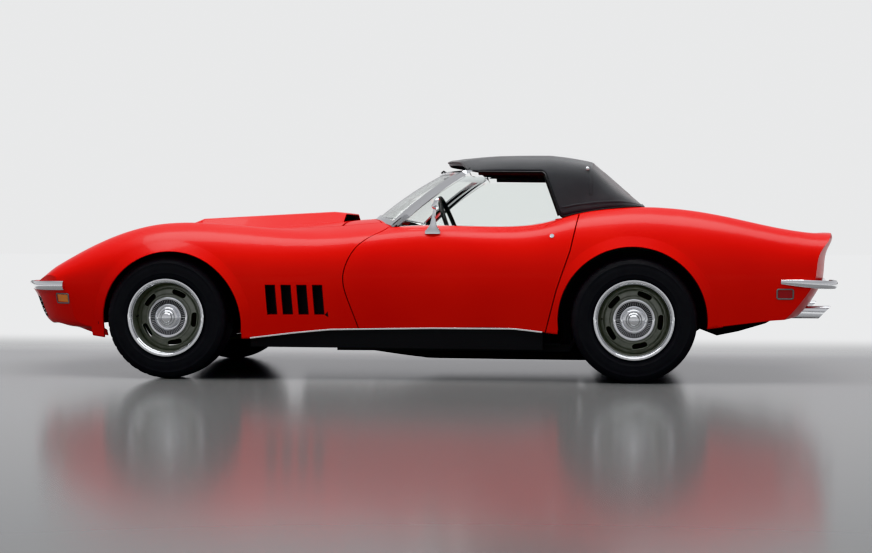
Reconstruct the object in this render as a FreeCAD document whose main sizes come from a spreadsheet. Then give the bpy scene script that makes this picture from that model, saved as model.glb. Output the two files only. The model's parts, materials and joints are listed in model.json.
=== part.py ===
import FreeCAD, Part
import math
import os
import Sketcher

Vector = FreeCAD.Vector

# A two-seat convertible car. X runs to the tail, Y to the car's right, Z up.
# The origin is on the ground under the middle of the whole car.

SIZES = {
    "overall_length": 4636,
    "overall_width": 1753,
    "top_height": 1211,
    "crest_height": 927,
    "wheelbase": 2489,
    "front_overhang": 1054,
    "skin": 6,
    "panel_gap": 6,
    "front_track": 1491,
    "rear_track": 1509,
    "tyre_diameter": 656,
    "tyre_half_width": 112,
    "rim_diameter": 381,
    "rim_lip_diameter": 420,
    "rim_half_width": 113,
    "rim_wall": 6,
    "disc_recess": 80,
    "slot_length": 72,
    "slot_height": 23,
    "slot_circle": 134,
    "slot_count": 5,
    "cap_radius": 110,
    "hub_radius": 42,
    "spindle_radius": 16,
    "arch_radius_front": 384,
    "arch_radius_rear": 388,
    "flare_width": 78,
    "flare_height": 13,
    "arch_rise_front": 299,
    "arch_rise_rear": 322,
    "kingpin_offset": 92,
    "steer_angle": 33,
    "door_angle": 62,
    "hood_angle": 50,
    "lamp_angle": 42,
    "glass_thickness": 5,
    "seat_width": 480,
    "seat_offset": 366,
    "cushion_length": 440,
    "cushion_height": 130,
    "back_height": 620,
    "back_thickness": 120,
    "floor_height": 190,
    "floor_thickness": 8,
    "tunnel_width": 240,
    "tunnel_height": 300,
    "rail_height": 110,
    "rail_width": 80,
    "rail_bottom": 150,
    "engine_length": 640,
    "engine_width": 480,
    "engine_height": 420,
    "engine_bottom": 240,
    "exhaust_radius": 28,
    "bumper_height": 62,
    "bumper_depth": 46,
    "wheel_rim_radius": 197,
    "wheel_rim_tube": 12,
    "column_tilt": 21,
    "running_gap": 0.3,
    "plate_hole_pitch": 178,
    "plate_hole_diameter": 7,
}

doc = FreeCAD.newDocument("roadster")
sheet = doc.addObject("Spreadsheet::Sheet", "Sizes")
for row, (alias, number) in enumerate(SIZES.items(), start=1):
    sheet.set(f"A{row}", alias)
    sheet.set(f"B{row}", str(number))
    sheet.setAlias(f"B{row}", alias)
doc.recompute()


class Size:
    """A length: its number, and the sheet formula that gives it."""

    def __init__(self, value, text):
        self.value = float(value)
        self.text = text

    def __float__(self):
        return self.value

    def __add__(self, other):
        other = as_size(other)
        return Size(self.value + other.value, f"({self.text} + {other.text})")

    def __radd__(self, other):
        return as_size(other) + self

    def __sub__(self, other):
        other = as_size(other)
        return Size(self.value - other.value, f"({self.text} - {other.text})")

    def __rsub__(self, other):
        return as_size(other) - self

    def __mul__(self, factor):
        factor = as_size(factor)
        return Size(self.value * factor.value, f"({self.text} * {factor.text})")

    def __rmul__(self, factor):
        return as_size(factor) * self

    def __truediv__(self, factor):
        factor = as_size(factor)
        return Size(self.value / factor.value, f"({self.text} / {factor.text})")

    def __neg__(self):
        return as_size(0) - self


def as_size(value):
    return value if isinstance(value, Size) else Size(value, f"({float(value)!r})")


class Cells:
    """Reads a cell of the sheet by its alias."""

    def __getattr__(self, alias):
        return Size(sheet.get(alias), f"Sizes.{alias}")


cell = Cells()
nodes = {}


def node(label, obj):
    """Keep this object as a sub-part under its own label."""
    obj.Label = label
    nodes[label] = obj
    return obj


def place(obj, x, y, z):
    for axis, size in zip("xyz", (x, y, z)):
        obj.setExpression(f"Placement.Base.{axis}", as_size(size).text)
    return obj


def box(name, x, y, z, length, width, height):
    """A block from its lowest corner."""
    obj = doc.addObject("Part::Box", name)
    obj.setExpression("Length", as_size(length).text)
    obj.setExpression("Width", as_size(width).text)
    obj.setExpression("Height", as_size(height).text)
    return place(obj, x, y, z)


AXES = {"x": (Vector(0, 1, 0), 90), "y": (Vector(1, 0, 0), -90), "z": (Vector(0, 0, 1), 0)}


def rod(name, axis, x, y, z, radius, length):
    """A cylinder that starts at a point and runs along +X, +Y or +Z."""
    obj = doc.addObject("Part::Cylinder", name)
    obj.setExpression("Radius", as_size(radius).text)
    obj.setExpression("Height", as_size(length).text)
    obj.Placement = FreeCAD.Placement(Vector(), FreeCAD.Rotation(*AXES[axis]))
    return place(obj, x, y, z)


def fuse(name, *objects):
    obj = doc.addObject("Part::MultiFuse", name)
    obj.Shapes = list(objects)
    obj.Refine = False
    return obj


def cut(name, base, tool):
    obj = doc.addObject("Part::Cut", name)
    obj.Base = base
    obj.Tool = tool
    obj.Refine = False
    return obj


def group(name, *objects):
    """Like solids on one body that don't touch."""
    obj = doc.addObject("Part::Compound", name)
    obj.Links = list(objects)
    return obj


def mirror(name, source):
    """The same piece on the other side of the car."""
    obj = doc.addObject("Part::Mirroring", name)
    obj.Source = source
    obj.Normal = Vector(0, 1, 0)
    return obj


def feature(name, shape):
    obj = doc.addObject("Part::Feature", name)
    obj.Shape = shape
    return obj


def origin_plane(body, role):
    for item in body.Origin.OriginFeatures:
        if item.Role == role:
            return item
    raise RuntimeError(f"no {role} in {body.Name}")


def outline_sketch(body, name, role, points, closed=True):
    """A sketch of straight lines whose corners are bound to the sheet."""
    sketch = body.newObject("Sketcher::SketchObject", name)
    sketch.AttachmentSupport = [(origin_plane(body, role), "")]
    sketch.MapMode = "FlatFace"
    corners = [Vector(float(as_size(a)), float(as_size(b)), 0) for a, b in points]
    count = len(corners)
    for index in range(count):
        sketch.addGeometry(Part.LineSegment(corners[index], corners[(index + 1) % count]), False)
    for index in range(count):
        sketch.addConstraint(Sketcher.Constraint("Coincident", index, 2, (index + 1) % count, 1))
    for index, pair in enumerate(points):
        for kind, size in zip(("DistanceX", "DistanceY"), pair):
            size = as_size(size)
            number = sketch.addConstraint(Sketcher.Constraint(kind, -1, 1, index, 1, size.value))
            sketch.setExpression(f"Constraints[{number}]", size.text)
    return sketch


def turned(name, points, role="XY_Plane"):
    """A body turned about its own Y axis from (radius, y) corners."""
    body = doc.addObject("PartDesign::Body", name)
    sketch = outline_sketch(body, name + "_profile", role, points)
    turn = body.newObject("PartDesign::Revolution", name + "_turn")
    turn.Profile = sketch
    turn.ReferenceAxis = (sketch, ["V_Axis"])
    turn.Angle = 360
    sketch.Visibility = False
    return body


# Places along the car, from the front axle and the rear axle

nose_x = -cell.overall_length / 2
tail_x = cell.overall_length / 2
front_axle_x = nose_x + cell.front_overhang
rear_axle_x = front_axle_x + cell.wheelbase
axle_z = cell.tyre_diameter / 2

# The body was measured with these sizes; the lines below are in that measure
# and are stretched between the axles, the ends, the width and the crest.

MEASURED_WHEELBASE = 2489.0
MEASURED_FRONT = 1054.0
MEASURED_REAR = 1093.0
MEASURED_WIDTH = 1753.0
MEASURED_CREST = 927.0
MEASURED_TOP = 1211.0


def along(x):
    """A measured distance behind the front axle, as a place on the car."""
    front, base = cell.front_overhang, cell.wheelbase
    rear = cell.overall_length - front - base
    if x < 0:
        return front_axle_x + x / MEASURED_FRONT * front
    if x < MEASURED_WHEELBASE:
        return front_axle_x + x / MEASURED_WHEELBASE * base
    return rear_axle_x + (x - MEASURED_WHEELBASE) / MEASURED_REAR * rear


def across(y):
    return y / MEASURED_WIDTH * cell.overall_width


def above(z):
    """A measured height; the roof stretches apart from the body."""
    if z <= MEASURED_CREST:
        return z / MEASURED_CREST * cell.crest_height
    roof = cell.top_height - cell.crest_height
    return cell.crest_height + (z - MEASURED_CREST) / (MEASURED_TOP - MEASURED_CREST) * roof


def point(x, y, z):
    return Vector(float(along(x)), float(across(y)), float(above(z)))


# Feature lines of the left body half as (distance behind the front axle, half width, height)

SILL = [(-1120, 640, 160), (-900, 660, 240), (-700, 690, 285), (-500, 740, 240), (-350, 785, 222),
        (0, 820, 218), (440, 820, 222), (680, 808, 250), (880, 798, 270), (1430, 795, 280),
        (1860, 797, 280), (2080, 808, 256), (2480, 830, 250), (2880, 828, 290), (3180, 800, 326),
        (3450, 775, 338), (3700, 750, 345)]
CREASE = [(-1120, 690, 300), (-900, 738, 412), (-700, 768, 484), (-500, 812, 516), (-300, 856, 532),
          (0, 882, 540), (350, 872, 544), (700, 848, 545), (1100, 838, 547), (1600, 838, 550),
          (2000, 848, 553), (2300, 876, 556), (2500, 882, 558), (2800, 872, 562), (3100, 838, 565),
          (3400, 800, 560), (3700, 764, 550)]
CREST = [(-1120, 540, 335), (-900, 568, 466), (-700, 590, 594), (-500, 612, 706), (-300, 634, 792),
         (-100, 650, 842), (100, 658, 852), (350, 668, 832), (600, 690, 800), (850, 714, 782),
         (1100, 734, 796), (1400, 740, 816), (1700, 740, 808), (1900, 738, 812), (2050, 730, 842),
         (2200, 716, 892), (2350, 704, 918), (2550, 698, 930), (2800, 692, 908), (3050, 684, 858),
         (3300, 672, 800), (3500, 662, 778), (3700, 650, 778)]
VALLEY = [(-1120, 250, 425), (-900, 260, 534), (-700, 280, 616), (-500, 320, 676), (-300, 370, 728),
          (-100, 402, 758), (100, 420, 776), (350, 440, 796), (600, 452, 816), (850, 462, 838),
          (1100, 478, 858), (1700, 480, 860), (2200, 460, 862), (2550, 430, 872), (2800, 430, 856),
          (3050, 430, 820), (3300, 430, 782), (3500, 430, 780), (3700, 430, 788)]
CENTRE = [(-1120, 0, 440), (-900, 0, 552), (-700, 0, 632), (-500, 0, 688), (-300, 0, 730),
          (-100, 0, 762), (100, 0, 786), (350, 0, 810), (600, 0, 832), (850, 0, 854), (1100, 0, 872),
          (1700, 0, 864), (2200, 0, 862), (2550, 0, 874), (2800, 0, 858), (3050, 0, 822),
          (3300, 0, 784), (3500, 0, 782), (3700, 0, 790)]

SECTION_PLACES = [-1120, -960, -820, -680, -540, -400, -260, -120, 20, 180, 350, 540, 740, 940, 1140,
                  1360, 1600, 1840, 2020, 2180, 2330, 2480, 2640, 2820, 3010, 3200, 3360, 3520, 3700]


def spline_at(line, x):
    """Half width and height of a feature line, by Hermite curves between its points."""
    last = len(line) - 1
    index = 0
    while index < last - 1 and x > line[index + 1][0]:
        index += 1
    before = line[max(index - 1, 0)]
    start, end = line[index], line[index + 1]
    after = line[min(index + 2, last)]
    span = end[0] - start[0]
    share = (x - start[0]) / span
    result = []
    for part in (1, 2):
        slope_start = (end[part] - before[part]) / (end[0] - before[0])
        slope_end = (after[part] - start[part]) / (after[0] - start[0])
        result.append(
            (2 * share ** 3 - 3 * share ** 2 + 1) * start[part]
            + (share ** 3 - 2 * share ** 2 + share) * span * slope_start
            + (3 * share ** 2 - 2 * share ** 3) * end[part]
            + (share ** 3 - share ** 2) * span * slope_end)
    return result


def blend(first, second, out, up):
    return [first[0] + (second[0] - first[0]) * out, first[1] + (second[1] - first[1]) * up]


def half_section(x):
    """Control points of one body section, from the sill over the crest to the middle."""
    sill, crease, crest, valley, centre = (spline_at(line, x) for line in (SILL, CREASE, CREST, VALLEY, CENTRE))
    return [sill, blend(sill, crease, 0.76, 0.56), crease, blend(crease, crest, 0.06, 0.43),
            blend(crease, crest, 0.38, 0.82), crest, blend(crest, valley, 0.42, 0.43), valley, centre]


def inset(section, depth):
    """The section moved inwards by a depth, square to its own run."""
    moved = []
    last = len(section) - 1
    for index, (y, z) in enumerate(section):
        before = section[max(index - 1, 0)]
        after = section[min(index + 1, last)]
        run_y, run_z = after[0] - before[0], after[1] - before[1]
        if index == last:
            run_y, run_z = -1.0, 0.0
        size = math.hypot(run_y, run_z)
        moved.append([y - run_z / size * depth, z + run_y / size * depth])
    moved[-1][0] = 0.0
    return moved


def clamped_knots(count):
    inner = count - 3
    values = [index / inner for index in range(inner + 1)]
    return values, [4] + [1] * (inner - 1) + [4]


def basis(knots, index, degree, u):
    """Value of one B-spline basis function."""
    if degree == 0:
        return 1.0 if knots[index] <= u < knots[index + 1] else 0.0
    total = 0.0
    left = knots[index + degree] - knots[index]
    right = knots[index + degree + 1] - knots[index + 1]
    if left > 0:
        total += (u - knots[index]) / left * basis(knots, index, degree - 1, u)
    if right > 0:
        total += (knots[index + degree + 1] - u) / right * basis(knots, index + 1, degree - 1, u)
    return total


def through(rows):
    """Rows of poles whose surface passes through the given rows."""
    count = len(rows)
    values, repeats = clamped_knots(count)
    knots = [value for value, times in zip(values, repeats) for _ in range(times)]
    places = [sum(knots[i + 1:i + 4]) / 3 for i in range(count)]
    places[-1] -= 1e-9
    weights = [[(j, basis(knots, j, 3, u)) for j in range(max(0, i - 3), min(count, i + 4))]
               for i, u in enumerate(places)]
    poles = [list(row) for row in rows]
    for _ in range(12):
        for i in range(1, count - 1):
            for column in range(len(rows[0])):
                here = Vector()
                for j, weight in weights[i]:
                    here = here + poles[j][column] * weight
                poles[i][column] = poles[i][column] + (rows[i][column] - here)
    return poles


def surface(rows):
    """A cubic surface through rows, free across them."""
    poles = through(rows)
    u_values, u_times = clamped_knots(len(poles))
    v_values, v_times = clamped_knots(len(poles[0]))
    result = Part.BSplineSurface()
    result.buildFromPolesMultsKnots(poles, u_times, v_times, u_values, v_values, False, False, 3, 3)
    return result


def solid_under(rows, drop=0.0):
    """The closed solid between a surface, its two ends and the ruled face below, dropped further if asked."""
    face = surface(rows).toShape()
    edges = face.Edges
    long_edges = [e for e in edges if e.BoundBox.XLength > 0.5 * face.BoundBox.XLength]
    ends = [e for e in edges if e.BoundBox.XLength <= 0.5 * face.BoundBox.XLength]
    bottom = Part.makeRuledSurface(long_edges[0], long_edges[1])
    caps = []
    for end in ends:
        first, last = end.Vertexes[0].Point, end.Vertexes[-1].Point
        caps.append(Part.Face(Part.Wire([end, Part.makeLine(first, last)])))
    shell = Part.makeShell([face, bottom] + caps)
    shell.sewShape()
    solid = Part.makeSolid(shell)
    if solid.Volume < 0:
        solid.reverse()
    if drop:
        solid = solid.fuse(bottom.extrude(Vector(0, 0, -drop)))
    return solid


def body_rows(depth):
    """Rows across the car: left side to right side for each section place."""
    rows = []
    for x in SECTION_PLACES:
        half = inset(half_section(x), depth) if depth else half_section(x)
        left = [point(x, -y, z) for y, z in half]
        right = [point(x, y, z) for y, z in reversed(half[:-1])]
        rows.append(left + right)
    return rows


# Ends of the body in plan, and how they rake with height

NOSE_PLAN_REACH = 400.0
NOSE_PLAN_HALF = 770.0
NOSE_RAKE = [(0, 460, 0), (216, 345, 0), (240, 300, 0), (268, 215, 0), (304, 132, 0), (380, 84, 0),
             (452, 40, 0), (500, 0, 0), (560, 0, 0), (1100, 0, 0)]
TAIL_PLAN_REACH = 100.0
TAIL_PLAN_HALF = 700.0
TAIL_RAKE = [(0, 420, 0), (240, 330, 0), (311, 215, 0), (340, 176, 0), (400, 120, 0), (470, 74, 0),
             (520, 48, 0), (600, 36, 0), (700, 17, 0), (778, 0, 0), (900, -20, 0), (1100, -40, 0)]
END_ROWS = [-30, 120, 216, 268, 304, 340, 400, 452, 490, 520, 600, 700, 778, 900, 1100]
END_COLUMNS = [-960, -880, -820, -760, -680, -550, -380, -190, 0, 190, 380, 550, 680, 760, 820, 880, 960]


def nose_at(y, z):
    plan = -1032 + NOSE_PLAN_REACH * abs(y / NOSE_PLAN_HALF) ** 3
    return plan + spline_at(NOSE_RAKE, max(z, 0))[0]


def tail_at(y, z):
    plan = 3577 - TAIL_PLAN_REACH * abs(y / TAIL_PLAN_HALF) ** 2.2
    return plan - spline_at(TAIL_RAKE, max(z, 0))[0]


def end_solid(reach, depth, towards):
    """Everything behind the nose surface or ahead of the tail surface."""
    grid = []
    for z in END_ROWS:
        grid.append([point(reach(y, z), y, z) + Vector(depth * towards, 0, 0) for y in END_COLUMNS])
    face = Part.BSplineSurface()
    face.interpolate(grid)
    return face.toShape().extrude(Vector(towards * 1.4 * cell.overall_length.value, 0, 0))


OPEN_BELOW = 300.0


def whole_body(depth):
    """The body's outer form, or the same moved inwards by a depth."""
    side = solid_under(body_rows(depth), OPEN_BELOW if depth > 0 else 0.0)
    nose = end_solid(nose_at, depth, 1)
    tail = end_solid(tail_at, depth, -1)
    whole = side.common(nose).common(tail)
    if not whole.Solids:
        raise RuntimeError("the body's form came out empty")
    return whole


skin = cell.skin.value
gap = cell.panel_gap.value
body_surface = surface(body_rows(0.0))
outer_form = whole_body(0.0)
inner_form = whole_body(skin)
seated_form = whole_body(-cell.running_gap.value)
seal_form = whole_body(-gap)


def prism(points, low, high, plane):
    """A straight block over an outline: plane 'side' runs across the car, 'plan' runs upwards."""
    if plane == "side":
        corners = [point(x, low, z) for x, z in points]
        run = point(0, high, 0) - point(0, low, 0)
    else:
        corners = [point(x, y, low) for x, y in points]
        run = point(0, 0, high) - point(0, 0, low)
    return Part.Face(Part.makePolygon(corners + corners[:1])).extrude(run)


def curved_prism(points, closing, low, high):
    """A side block whose leading run is a smooth curve and whose closing run is straight."""
    curve = Part.BSplineCurve()
    curve.interpolate([point(x, low, z) for x, z in points])
    corners = [point(points[-1][0], low, points[-1][1])]
    corners += [point(x, low, z) for x, z in closing]
    corners.append(point(points[0][0], low, points[0][1]))
    wire = Part.Wire([curve.toShape()] + [Part.makeLine(a, b) for a, b in zip(corners, corners[1:])])
    return Part.Face(wire).extrude(point(0, high, 0) - point(0, low, 0))


def both_sides(shape):
    return shape.fuse(shape.mirror(Vector(), Vector(0, 1, 0)))


def wheel_cylinder(x, z, radius, low, high):
    start = Vector(float(x), low, float(z))
    return Part.makeCylinder(radius, high - low, start, Vector(0, 1, 0))


def tube(points, bends, radius):
    """A round bar along straight runs joined by arcs; points are places in the frame."""
    edges = []
    start = points[0]
    for corner, after, bend in zip(points[1:-1], points[2:], bends):
        to_start = (start - corner).normalize()
        to_after = (after - corner).normalize()
        half = to_start.getAngle(to_after) / 2
        back = bend / math.tan(half)
        first, last = corner + to_start * back, corner + to_after * back
        middle = corner + (to_start + to_after).normalize() * (bend / math.sin(half) - bend)
        edges += [Part.makeLine(start, first), Part.Arc(first, middle, last).toShape()]
        start = last
    edges.append(Part.makeLine(start, points[-1]))
    path = Part.Wire(edges)
    ring = Part.Wire(Part.makeCircle(radius, points[0], points[1] - points[0]))
    return path.makePipeShell([ring], True, True)


def side_reach(x, z):
    """How far out the body's side stands at a measured place, held between sill and crest."""
    sill, crest = spline_at(SILL, x), spline_at(CREST, x)
    height = min(max(z, sill[1] + 12), crest[1] - 12)
    at = point(x, 0, height)
    hits = Part.Line(at, at + Vector(0, 1, 0)).intersectCS(body_surface)[0]
    return max(hit.Y for hit in hits)


# Where the panels part from each other

DOOR_FRONT = [(1215, 880), (1170, 800), (1100, 762), (1028, 706), (982, 631), (960, 541),
              (980, 439), (1012, 350), (1042, 262), (1066, 190)]
DOOR_REAR = [(2008, 190), (2030, 280), (2083, 481), (2156, 691), (2180, 800), (2198, 880)]
GLASS_BASE_X = 1031.0
GLASS_BASE_SWEEP = 170.0
GLASS_HALF_BASE = 690.0
DECK_FRONT, DECK_REAR, DECK_HALF = 2130.0, 2560.0, 606.0
HOOD_FRONT, HOOD_REAR = -430.0, 905.0
HOOD_HALF_FRONT, HOOD_HALF_REAR = 520.0, 560.0
WIPER_REAR = 1010.0
LAMP_FRONT, LAMP_REAR = -740.0, -490.0
LAMP_INNER, LAMP_OUTER = 235.0, 560.0
CABIN_HALF = 696.0
DOOR_HALF = 700.0
LIFT = 300.0
ROOF_OVER = 1300.0


def glass_base_x(y):
    return GLASS_BASE_X + GLASS_BASE_SWEEP * (y / GLASS_HALF_BASE) ** 2


def door_prism(grow):
    front = [(x - grow, z) for x, z in DOOR_FRONT]
    rear = [(x + grow, z) for x, z in DOOR_REAR]
    return curved_prism(front, rear, -1000, -DOOR_HALF + grow)


def cabin_prism():
    front = [(glass_base_x(y) + 8, y) for y in (-CABIN_HALF, -520, -350, -180, 0, 180, 350, 520, CABIN_HALF)]
    rear = [(DECK_FRONT, CABIN_HALF), (DECK_FRONT, -CABIN_HALF)]
    return prism(front + rear, 300, ROOF_OVER, "plan")


def hood_prism(grow):
    return prism([(HOOD_FRONT - grow, -HOOD_HALF_FRONT - grow), (HOOD_REAR + grow, -HOOD_HALF_REAR - grow),
                  (HOOD_REAR + grow, HOOD_HALF_REAR + grow), (HOOD_FRONT - grow, HOOD_HALF_FRONT + grow)],
                 LIFT, ROOF_OVER, "plan")


def wiper_prism(grow):
    rear = [(WIPER_REAR + GLASS_BASE_SWEEP * (y / GLASS_HALF_BASE) ** 2 + grow, y)
            for y in (HOOD_HALF_REAR + grow, 300, 0, -300, -HOOD_HALF_REAR - grow)]
    front = HOOD_REAR + 2 * gap - grow
    return prism([(front, -HOOD_HALF_REAR - grow), (front, HOOD_HALF_REAR + grow)] + rear,
                 LIFT, ROOF_OVER, "plan")


def deck_prism(grow):
    return prism([(DECK_FRONT - 60, -DECK_HALF - grow), (DECK_REAR + grow, -DECK_HALF - grow),
                  (DECK_REAR + grow, DECK_HALF + grow), (DECK_FRONT - 60, DECK_HALF + grow)],
                 LIFT, ROOF_OVER, "plan")


def lamp_prism(side, grow):
    inner, outer = side * (LAMP_INNER - grow), side * (LAMP_OUTER + grow)
    return prism([(LAMP_FRONT - grow, inner), (LAMP_REAR + grow, inner),
                  (LAMP_REAR + grow, outer), (LAMP_FRONT + 60 - grow, outer)], LIFT, ROOF_OVER, "plan")


def arch_cut(x, rise, radius):
    """The opening over a wheel, with straight sides below the middle."""
    top = wheel_cylinder(x, rise, radius, -1000, -430)
    below = Part.makeBox(2 * radius, 570, rise, Vector(x - radius, -1000, -50))
    return both_sides(top.fuse(below))


front_arch = arch_cut(float(along(25)), float(above(cell.arch_rise_front.value)), cell.arch_radius_front.value)
rear_arch = arch_cut(float(along(2480)), float(above(cell.arch_rise_rear.value)), cell.arch_radius_rear.value)


def flare(x, rise, radius):
    """The lip that swells out of the body's side round a wheel opening, left side."""
    turns = [math.radians(angle) for angle in range(-14, 195, 16)]
    shares = [0.0, 0.12, 0.3, 0.55, 0.8, 1.0]
    grid = []
    for share in shares:
        row = []
        for turn in turns:
            reach_out = radius - 8 + (cell.flare_width.value + 8) * share
            px = x + reach_out * math.cos(turn)
            pz = rise + reach_out * math.sin(turn)
            swell = (cell.flare_height.value + 2) * (1 - share) ** 1.6 - 2
            row.append(point(px, -side_reach(px, pz) - swell, pz))
        grid.append(row)
    face = Part.BSplineSurface()
    face.interpolate(grid)
    return face.toShape().extrude(Vector(0, cell.flare_height.value + 4, 0))


skin_form = outer_form.cut(inner_form)
front_flare = both_sides(flare(25, cell.arch_rise_front.value, cell.arch_radius_front.value))
rear_flare = both_sides(flare(2480, cell.arch_rise_rear.value, cell.arch_radius_rear.value))
split_x = float(along(1300))
reach = cell.overall_length.value
ahead = Part.makeBox(reach, 2400, 2400, Vector(split_x - reach, -1200, -200))
behind = Part.makeBox(reach, 2400, 2400, Vector(split_x, -1200, -200))
door_hole = both_sides(door_prism(gap))


def shell_part(region, *holes):
    shape = skin_form.common(region)
    for hole in holes:
        shape = shape.cut(hole)
    return keep_large(shape)


def keep_large(shape, least=2e4):
    """The solids of a panel, without crumbs at its trimmed edges."""
    solids = [solid for solid in shape.Solids if solid.Volume > least]
    return solids[0] if len(solids) == 1 else Part.makeCompound(solids)


GILL_FIRST, GILL_PITCH, GILL_COUNT = 540.0, 84.0, 4
GILL_WIDTH, GILL_TOP, GILL_BOTTOM, GILL_LEAN = 55.0, 506.0, 346.0, 9.0
GILL_DEPTH = 778.0
gill_box = [(GILL_FIRST - 14, GILL_TOP + 14), (GILL_FIRST + GILL_PITCH * 3 + 70, GILL_TOP + 14),
            (GILL_FIRST + GILL_PITCH * 3 + 84, GILL_BOTTOM - 14), (GILL_FIRST - 4, GILL_BOTTOM - 14)]
gill_tray = prism(gill_box, -900, -GILL_DEPTH, "side").common(outer_form)
gill_room = prism([(x + dx, z + dz) for (x, z), (dx, dz) in
                   zip(gill_box, ((8, -8), (-8, -8), (-8, 8), (8, 8)))], -900, -GILL_DEPTH - 5, "side")
gill_tray = gill_tray.cut(gill_room.common(inner_form))
gills = None
for index in range(GILL_COUNT):
    first = GILL_FIRST + GILL_PITCH * index
    slot = prism([(first, GILL_TOP), (first + GILL_WIDTH, GILL_TOP),
                  (first + GILL_WIDTH + GILL_LEAN, GILL_BOTTOM), (first + GILL_LEAN, GILL_BOTTOM)],
                 -1000, -GILL_DEPTH - 5, "side")
    gills = slot if gills is None else gills.fuse(slot)

GRILLE_INNER, GRILLE_OUTER = 110.0, 560.0
GRILLE_LOW, GRILLE_HIGH = 316.0, 428.0
AMBER = [(-642, 447), (-566, 446), (-564, 406), (-640, 408)]
RED_MARKER = [(3226, 484), (3300, 484), (3300, 444), (3226, 444)]
TAIL_LAMPS = [(250, 648), (432, 648)]
TAIL_LAMP_RADIUS = 68.0
PLATE_HALF, PLATE_LOW, PLATE_HIGH, PLATE_X = 165.0, 398.0, 540.0, 3478.0


def grown(points, amount):
    """An outline moved out from its middle along both directions."""
    middle_x = sum(p[0] for p in points) / len(points)
    middle_z = sum(p[1] for p in points) / len(points)
    return [(x + amount * (1 if x > middle_x else -1), z + amount * (1 if z > middle_z else -1)) for x, z in points]


def lamp_rods(radius, start, length):
    rods = None
    for y, z in TAIL_LAMPS:
        one = Part.makeCylinder(radius, length, point(start, y, z), Vector(1, 0, 0))
        rods = one if rods is None else rods.fuse(one)
    return both_sides(rods)


grille_region = both_sides(Part.makeBox(700, across(GRILLE_OUTER - GRILLE_INNER).value,
                                        above(GRILLE_HIGH - GRILLE_LOW).value,
                                        point(-1060, GRILLE_INNER, GRILLE_LOW)))
amber_hole = both_sides(prism(AMBER, -1000, -600, "side"))
marker_hole = both_sides(prism(RED_MARKER, -1000, -600, "side"))
tail_holes = lamp_rods(TAIL_LAMP_RADIUS + 2, 3440, 200)
plate_box = Part.makeBox(300, 2 * PLATE_HALF, PLATE_HIGH - PLATE_LOW, point(PLATE_X, 0, PLATE_LOW) - Vector(0, PLATE_HALF, 0))
plate_tray = Part.makeBox(300, 2 * PLATE_HALF + 12, PLATE_HIGH - PLATE_LOW + 12,
                          point(PLATE_X, 0, PLATE_LOW) - Vector(6, PLATE_HALF + 6, 6)).common(outer_form)
plate_holes = None
for side in (-1, 1):
    hole = Part.makeCylinder(cell.plate_hole_diameter.value / 2, 60,
                             point(PLATE_X, 0, PLATE_HIGH - 40) + Vector(-30, side * cell.plate_hole_pitch.value / 2, 0),
                             Vector(1, 0, 0))
    plate_holes = hole if plate_holes is None else plate_holes.fuse(hole)

front_shape = shell_part(ahead, door_hole, cabin_prism(), hood_prism(gap), wiper_prism(gap),
                         lamp_prism(-1, gap), lamp_prism(1, gap), grille_region, amber_hole)
front_shape = front_shape.fuse([both_sides(gill_tray), front_flare.common(ahead)])
front_shape = keep_large(front_shape.cut(both_sides(gills)).cut(front_arch))
tip_notch = both_sides(Part.makeBox(500, 104, 393, Vector(float(along(3250)), -402, 0)))
rear_shape = shell_part(behind, cabin_prism(), deck_prism(gap), tip_notch, marker_hole, tail_holes)
rear_shape = rear_shape.fuse([plate_tray, rear_flare.common(behind)])
rear_shape = keep_large(rear_shape.cut(plate_box).cut(rear_arch).cut(door_hole).cut(plate_holes))
node("front_end", feature("front_shell", front_shape))
node("rear_body", feature("rear_shell", rear_shape))

# Grille bars, side lamps and tail lamps

grille_skin = skin_form.common(both_sides(Part.makeBox(700, across(GRILLE_OUTER - GRILLE_INNER).value - 0.6,
                                                       above(GRILLE_HIGH - GRILLE_LOW).value - 0.6,
                                                       point(-1060, GRILLE_INNER, GRILLE_LOW) + Vector(0, 0.3, 0.3))))
bars = []
for index in range(6):
    bars.append(Part.makeBox(700, 2000, 6, point(-1060, -1000, GRILLE_LOW + 0.3 + index * 20.5)))
for index in range(4):
    for side in (-1, 1):
        y = side * (GRILLE_INNER + 0.5 + index * (GRILLE_OUTER - GRILLE_INNER - 9) / 3)
        bars.append(Part.makeBox(700, 8, 200, point(-1060, y if side > 0 else y - 8, GRILLE_LOW - 10)))
grille_bars = grille_skin.common(bars[0].fuse(bars[1:]))
node("grille", feature("grille_bars", keep_large(grille_bars, 500)))
amber = skin_form.common(both_sides(prism(grown(AMBER, -0.3), -1000, -600, "side")))
node("amber_lamps", feature("amber_lenses", keep_large(amber, 500)))
red_side = skin_form.common(both_sides(prism(grown(RED_MARKER, -0.3), -1000, -600, "side")))
round_lamps = skin_form.common(lamp_rods(TAIL_LAMP_RADIUS + 1.7, 3440, 200))
node("red_lamps", feature("red_lenses", Part.makeCompound(keep_large(red_side, 500).Solids
                                                          + keep_large(round_lamps, 500).Solids)))

# Hood with its raised dome, open to the rear

DOME_RISE = [(-296, 250, 726), (56, 262, 863), (805, 236, 902), (871, 232, 894)]
DOME_SPREAD = 1.34


def dome_solid(depth):
    """The dome's form from four sections; the inner one is smaller by a depth."""
    wires = []
    for x, half, top in DOME_RISE:
        foot = half * DOME_SPREAD if x > DOME_RISE[0][0] else half * 0.8
        low = 660 - (depth > 0) * 20
        corners = [(foot - depth, low), (foot - depth, min(top - 30, spline_at(CENTRE, x)[1] - 12)), (half - depth, top - 6 - depth),
                   (half - 20 - depth, top - depth)]
        outline = [point(x, y, z) for y, z in corners]
        outline += [point(x, -y, z) for y, z in reversed(corners)]
        wires.append(Part.makePolygon(outline + outline[:1]))
    return Part.makeLoft(wires, True, True)


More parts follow.
